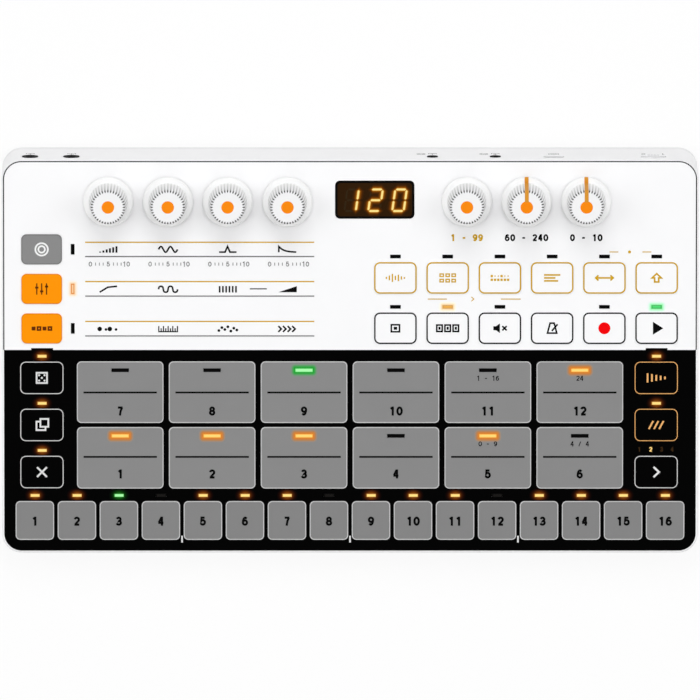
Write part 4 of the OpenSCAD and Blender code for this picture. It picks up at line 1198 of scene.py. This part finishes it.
class DRUM_OT_knob_marks(bpy.types.Operator):
    """Lays the orange dot in every knob, the pointer line on two, and strips of painted shade in
    the grips' grooves
    """
    bl_idname = "drum.knob_marks"
    bl_label = "Knob Marks"

    SHOULDER, ROUND = 5.5, 0.8  # where the grip's top edge bends down, and its radius
    SKIRT = 2.9  # height at which the grip's wall ends

    def dot(self, u, v, top):
        """A shallow domed disc."""
        radius = sizes().dot
        return skinned([[(x, y, top + w) for x, y in loop(u, v, r, r, 48)] for r, w in (
            (radius, -0.2), (radius, 0.0), (radius - 0.12, 0.03), (radius * 0.5, 0.04))])

    def pointer(self, u, v, top):
        """A strip that runs from the dot over the grip and the skirt to the rear rim."""
        profile = [(sizes().dot - 0.4, top),
                   *arc(self.SHOULDER, top - self.ROUND, self.ROUND, self.ROUND, 90, 0, 6),
                   (7.17, self.SKIRT), (7.2, 2.1), (8.7, 2.1), (9.2, 1.6), (9.2, 0.7)]
        half, steps, last = sizes().pointer / 2, 6, len(profile) - 1
        across = [half * (2 * k / steps - 1) for k in range(steps + 1)]
        bm = bmesh.new()
        layers = []
        for proud in (-0.2, 0.05):
            rows = []
            for i, (r, w) in enumerate(profile):
                before, after = profile[max(0, i - 1)], profile[min(last, i + 1)]
                dr, dw = after[0] - before[0], after[1] - before[1]
                run = math.hypot(dr, dw)
                out_r, out_w = r - dw / run * proud, w + dr / run * proud
                rows.append([bm.verts.new((u + x, v + math.sqrt(out_r ** 2 - x * x), out_w))
                             for x in across])
            layers.append(rows)
        inner, outer = layers
        for i in range(last):
            for k in range(steps):
                for rows in layers:
                    bm.faces.new((rows[i][k], rows[i][k + 1], rows[i + 1][k + 1],
                                  rows[i + 1][k]))
            for k in (0, steps):
                bm.faces.new((inner[i][k], inner[i + 1][k], outer[i + 1][k], outer[i][k]))
        for i in (0, last):
            for k in range(steps):
                bm.faces.new((inner[i][k], inner[i][k + 1], outer[i][k + 1], outer[i][k]))
        return finished(bm)

    def flute(self, top):
        """A strip of painted shade in one groove of the grip: narrow at its top, and wide from the
        shoulder down.
        """
        proud, thick = 0.012, 0.5
        bend = self.ROUND + proud
        path = [(self.SHOULDER - 0.12, top + proud),
                *arc(self.SHOULDER, top - self.ROUND, bend, bend, 84, 4, 8)]
        start, wide, foot = sizes().flute_top, sizes().flute, sizes().flute_foot
        widths = [start + (wide - start) * min(1, i / 7) for i in range(len(path))] + [foot] * 3
        path += [(6.42 + proud, top - 2.4), (6.75 + proud, (top + 1.5) / 2),
                 (7.14 + proud, self.SKIRT)]
        return skinned([[(r, -half, w), (r, half, w), (r - thick, half, w - thick / 2),
                         (r - thick, -half, w - thick / 2)]
                        for (r, w), half in zip(path, (width / 2 for width in widths))],
                       (0, -1))

    def flute_finish(self, top):
        """Painted shade for the groove strips: dark at the top of the grip and paler towards its
        foot.
        """
        made = Finish("flute_shade")
        steps = [(at, paint(level, level, level)) for at, level in (
            (0, 226), (0.5, 206), (0.8, 190), (0.93, 164), (0.975, 88))]
        steps.append((1, paint(70, 70, 72)))
        grain = made.noise(0.3)
        made.set(Base_Color=made.ramp(made.height(top - 11, top), steps).outputs["Color"],
                 Roughness=made.spread(grain, 0.5, 0.7), Specular_IOR_Level=0.1)
        made.bump(grain, 1.0, 4e-6)
        return made.material

    def execute(self, context):
        painted_flute_shade = self.flute_finish(place("level_knob")[4])
        inlay = {"rough": 0.45, "grain": 0.25, "depth": 0.004, "tint": 0.02, "specular": 0.05}
        orange = surface("orange_inlay", colours().mark, **inlay)
        ochre = surface("pointer_inlay", paint(214, 146, 50), **inlay)
        for knob in KNOBS:
            u, v, _, _, top = place(knob + "_knob")
            body = knob + "_control"
            piece(knob + "_dot", self.dot(u, v, top), orange, body)
            # A strip of painted shade in each of the grip's 36 grooves.
            shade_strip_mesh = baked("Turned", self.flute(top), Count=36, Finish=painted_flute_shade)
            shade_strip_mesh.transform(Matrix.Translation((u, v, 0)))
            piece(knob + "_flutes", shade_strip_mesh, None, body)
            if knob in POINTER_KNOBS:
                piece(knob + "_pointer", self.pointer(u, v, top), ochre, body)
        return {"FINISHED"}


class DRUM_OT_stage(bpy.types.Operator):
    """Sets the floor, the light and the camera"""
    bl_idname = "drum.stage"
    bl_label = "Stage"

    FLOOR_HALF, FLOOR_Z = 4.0, -1e-4
    CASE_HEIGHT = 0.024  # the camera's frame is as wide as set at this height
    LAMPS = (("left_lamp", (-1.05, 0.15, 1.35), 1.0, 6.2),
             ("right_lamp", (1.05, 0.15, 1.35), 1.0, 5.8),
             ("rear_lamp", (0, 1.1, 1.5), 1.1, 11.2),
             ("front_lamp", (0, -1.0, 1.3), 1.1, 3.4))

    def floor(self):
        """A pale floor that is clear from below and shines white where the camera sees it."""
        material = bpy.data.materials.new("pale_floor")
        material.use_nodes = True
        tree = material.node_tree
        tree.nodes.clear()
        path = add(tree, "ShaderNodeLightPath").outputs
        seen = maths(tree, "MAXIMUM", path["Is Camera Ray"], path["Is Glossy Ray"])
        matt = add(tree, "ShaderNodeBsdfDiffuse", Color=(0.9, 0.9, 0.9, 1)).outputs[0]
        white = add(tree, "ShaderNodeEmission").outputs[0]
        pale = blended(tree, maths(tree, "MULTIPLY", seen, 0.86), matt, white)
        below = add(tree, "ShaderNodeNewGeometry").outputs["Backfacing"]
        clear = add(tree, "ShaderNodeBsdfTransparent").outputs[0]
        add(tree, "ShaderNodeOutputMaterial", Surface=blended(tree, below, pale, clear))
        mesh = bpy.data.meshes.new("floor")
        mesh.from_pydata([(x, y, self.FLOOR_Z) for x, y in corners(
            0, 0, 2 * self.FLOOR_HALF, 2 * self.FLOOR_HALF)], [], [(0, 1, 2, 3)])
        mesh.materials.append(material)
        floor = bpy.data.objects.new("floor", mesh)
        bpy.context.scene.collection.objects.link(floor)

    def sky(self):
        """White for the camera and in reflections, and dimmer as light on the scene."""
        scene = bpy.context.scene
        scene.world = scene.world or bpy.data.worlds.new("studio")
        scene.world.use_nodes = True
        tree = scene.world.node_tree
        tree.nodes.clear()
        path = add(tree, "ShaderNodeLightPath").outputs
        rays = path["Is Camera Ray"]
        for name in ("Is Glossy Ray", "Is Transmission Ray"):
            rays = maths(tree, "MAXIMUM", rays, path[name])
        ambient, white = (add(tree, "ShaderNodeBackground", Color=(1, 1, 1, 1),
                              Strength=strength).outputs[0] for strength in (0.43, 1.0))
        add(tree, "ShaderNodeOutputWorld", Surface=blended(tree, rays, ambient, white))

    def lamp(self, name, position, size, power):
        data = bpy.data.lights.new(name, "AREA")
        data.shape, data.size, data.energy = "SQUARE", size, power
        lamp = bpy.data.objects.new(name, data)
        lamp.location = position
        lamp.rotation_euler = (-Vector(position)).to_track_quat("-Z", "Y").to_euler()
        bpy.context.scene.collection.objects.link(lamp)

    def camera(self):
        """Looks straight down from far away, with a lens that hardly shows perspective."""
        data = bpy.data.cameras.new("camera")
        data.lens, data.sensor_width, data.clip_end = 1400, 36, 60
        height = sizes().frame_width * MM * data.lens / data.sensor_width
        camera = bpy.data.objects.new("camera", data)
        camera.location = (0, 0, height + self.CASE_HEIGHT)
        bpy.context.scene.collection.objects.link(camera)
        bpy.context.scene.camera = camera

    def execute(self, context):
        self.floor()
        self.sky()
        for given in self.LAMPS:
            self.lamp(*given)
        self.camera()
        context.scene.view_settings.view_transform = "Standard"
        return {"FINISHED"}


OPERATORS = (DRUM_OT_case, DRUM_OT_controls, DRUM_OT_panel_print, DRUM_OT_key_print,
             DRUM_OT_pad_print, DRUM_OT_rear_print, DRUM_OT_lights, DRUM_OT_display,
             DRUM_OT_knob_marks, DRUM_OT_stage)


class DRUM_PT_sidebar(bpy.types.Panel):
    """Lists the drum machine's operators and settings"""
    bl_idname = "DRUM_PT_sidebar"
    bl_label = "Drum Machine"
    bl_space_type = "VIEW_3D"
    bl_region_type = "UI"
    bl_category = "Drum Machine"

    def draw(self, context):
        for operator in OPERATORS:
            self.layout.operator(operator.bl_idname)
        for group in (context.scene.drum_colours, context.scene.drum_sizes):
            box = self.layout.box()
            for name in group.__annotations__:
                box.prop(group, name)


CLASSES = (DrumColours, DrumSizes, *OPERATORS, DRUM_PT_sidebar)


def register():
    for each in CLASSES:
        bpy.utils.register_class(each)
    bpy.types.Scene.drum_colours = bpy.props.PointerProperty(type=DrumColours)
    bpy.types.Scene.drum_sizes = bpy.props.PointerProperty(type=DrumSizes)


def unregister():
    del bpy.types.Scene.drum_sizes
    del bpy.types.Scene.drum_colours
    for each in reversed(CLASSES):
        bpy.utils.unregister_class(each)


def main():
    register()
    bpy.ops.drum.case()
    bpy.ops.drum.controls()
    bpy.ops.drum.panel_print()
    bpy.ops.drum.key_print()
    bpy.ops.drum.pad_print()
    bpy.ops.drum.rear_print()
    bpy.ops.drum.lights()
    bpy.ops.drum.display()
    bpy.ops.drum.knob_marks()
    bpy.ops.drum.stage()


if __name__ == "__main__":
    main()
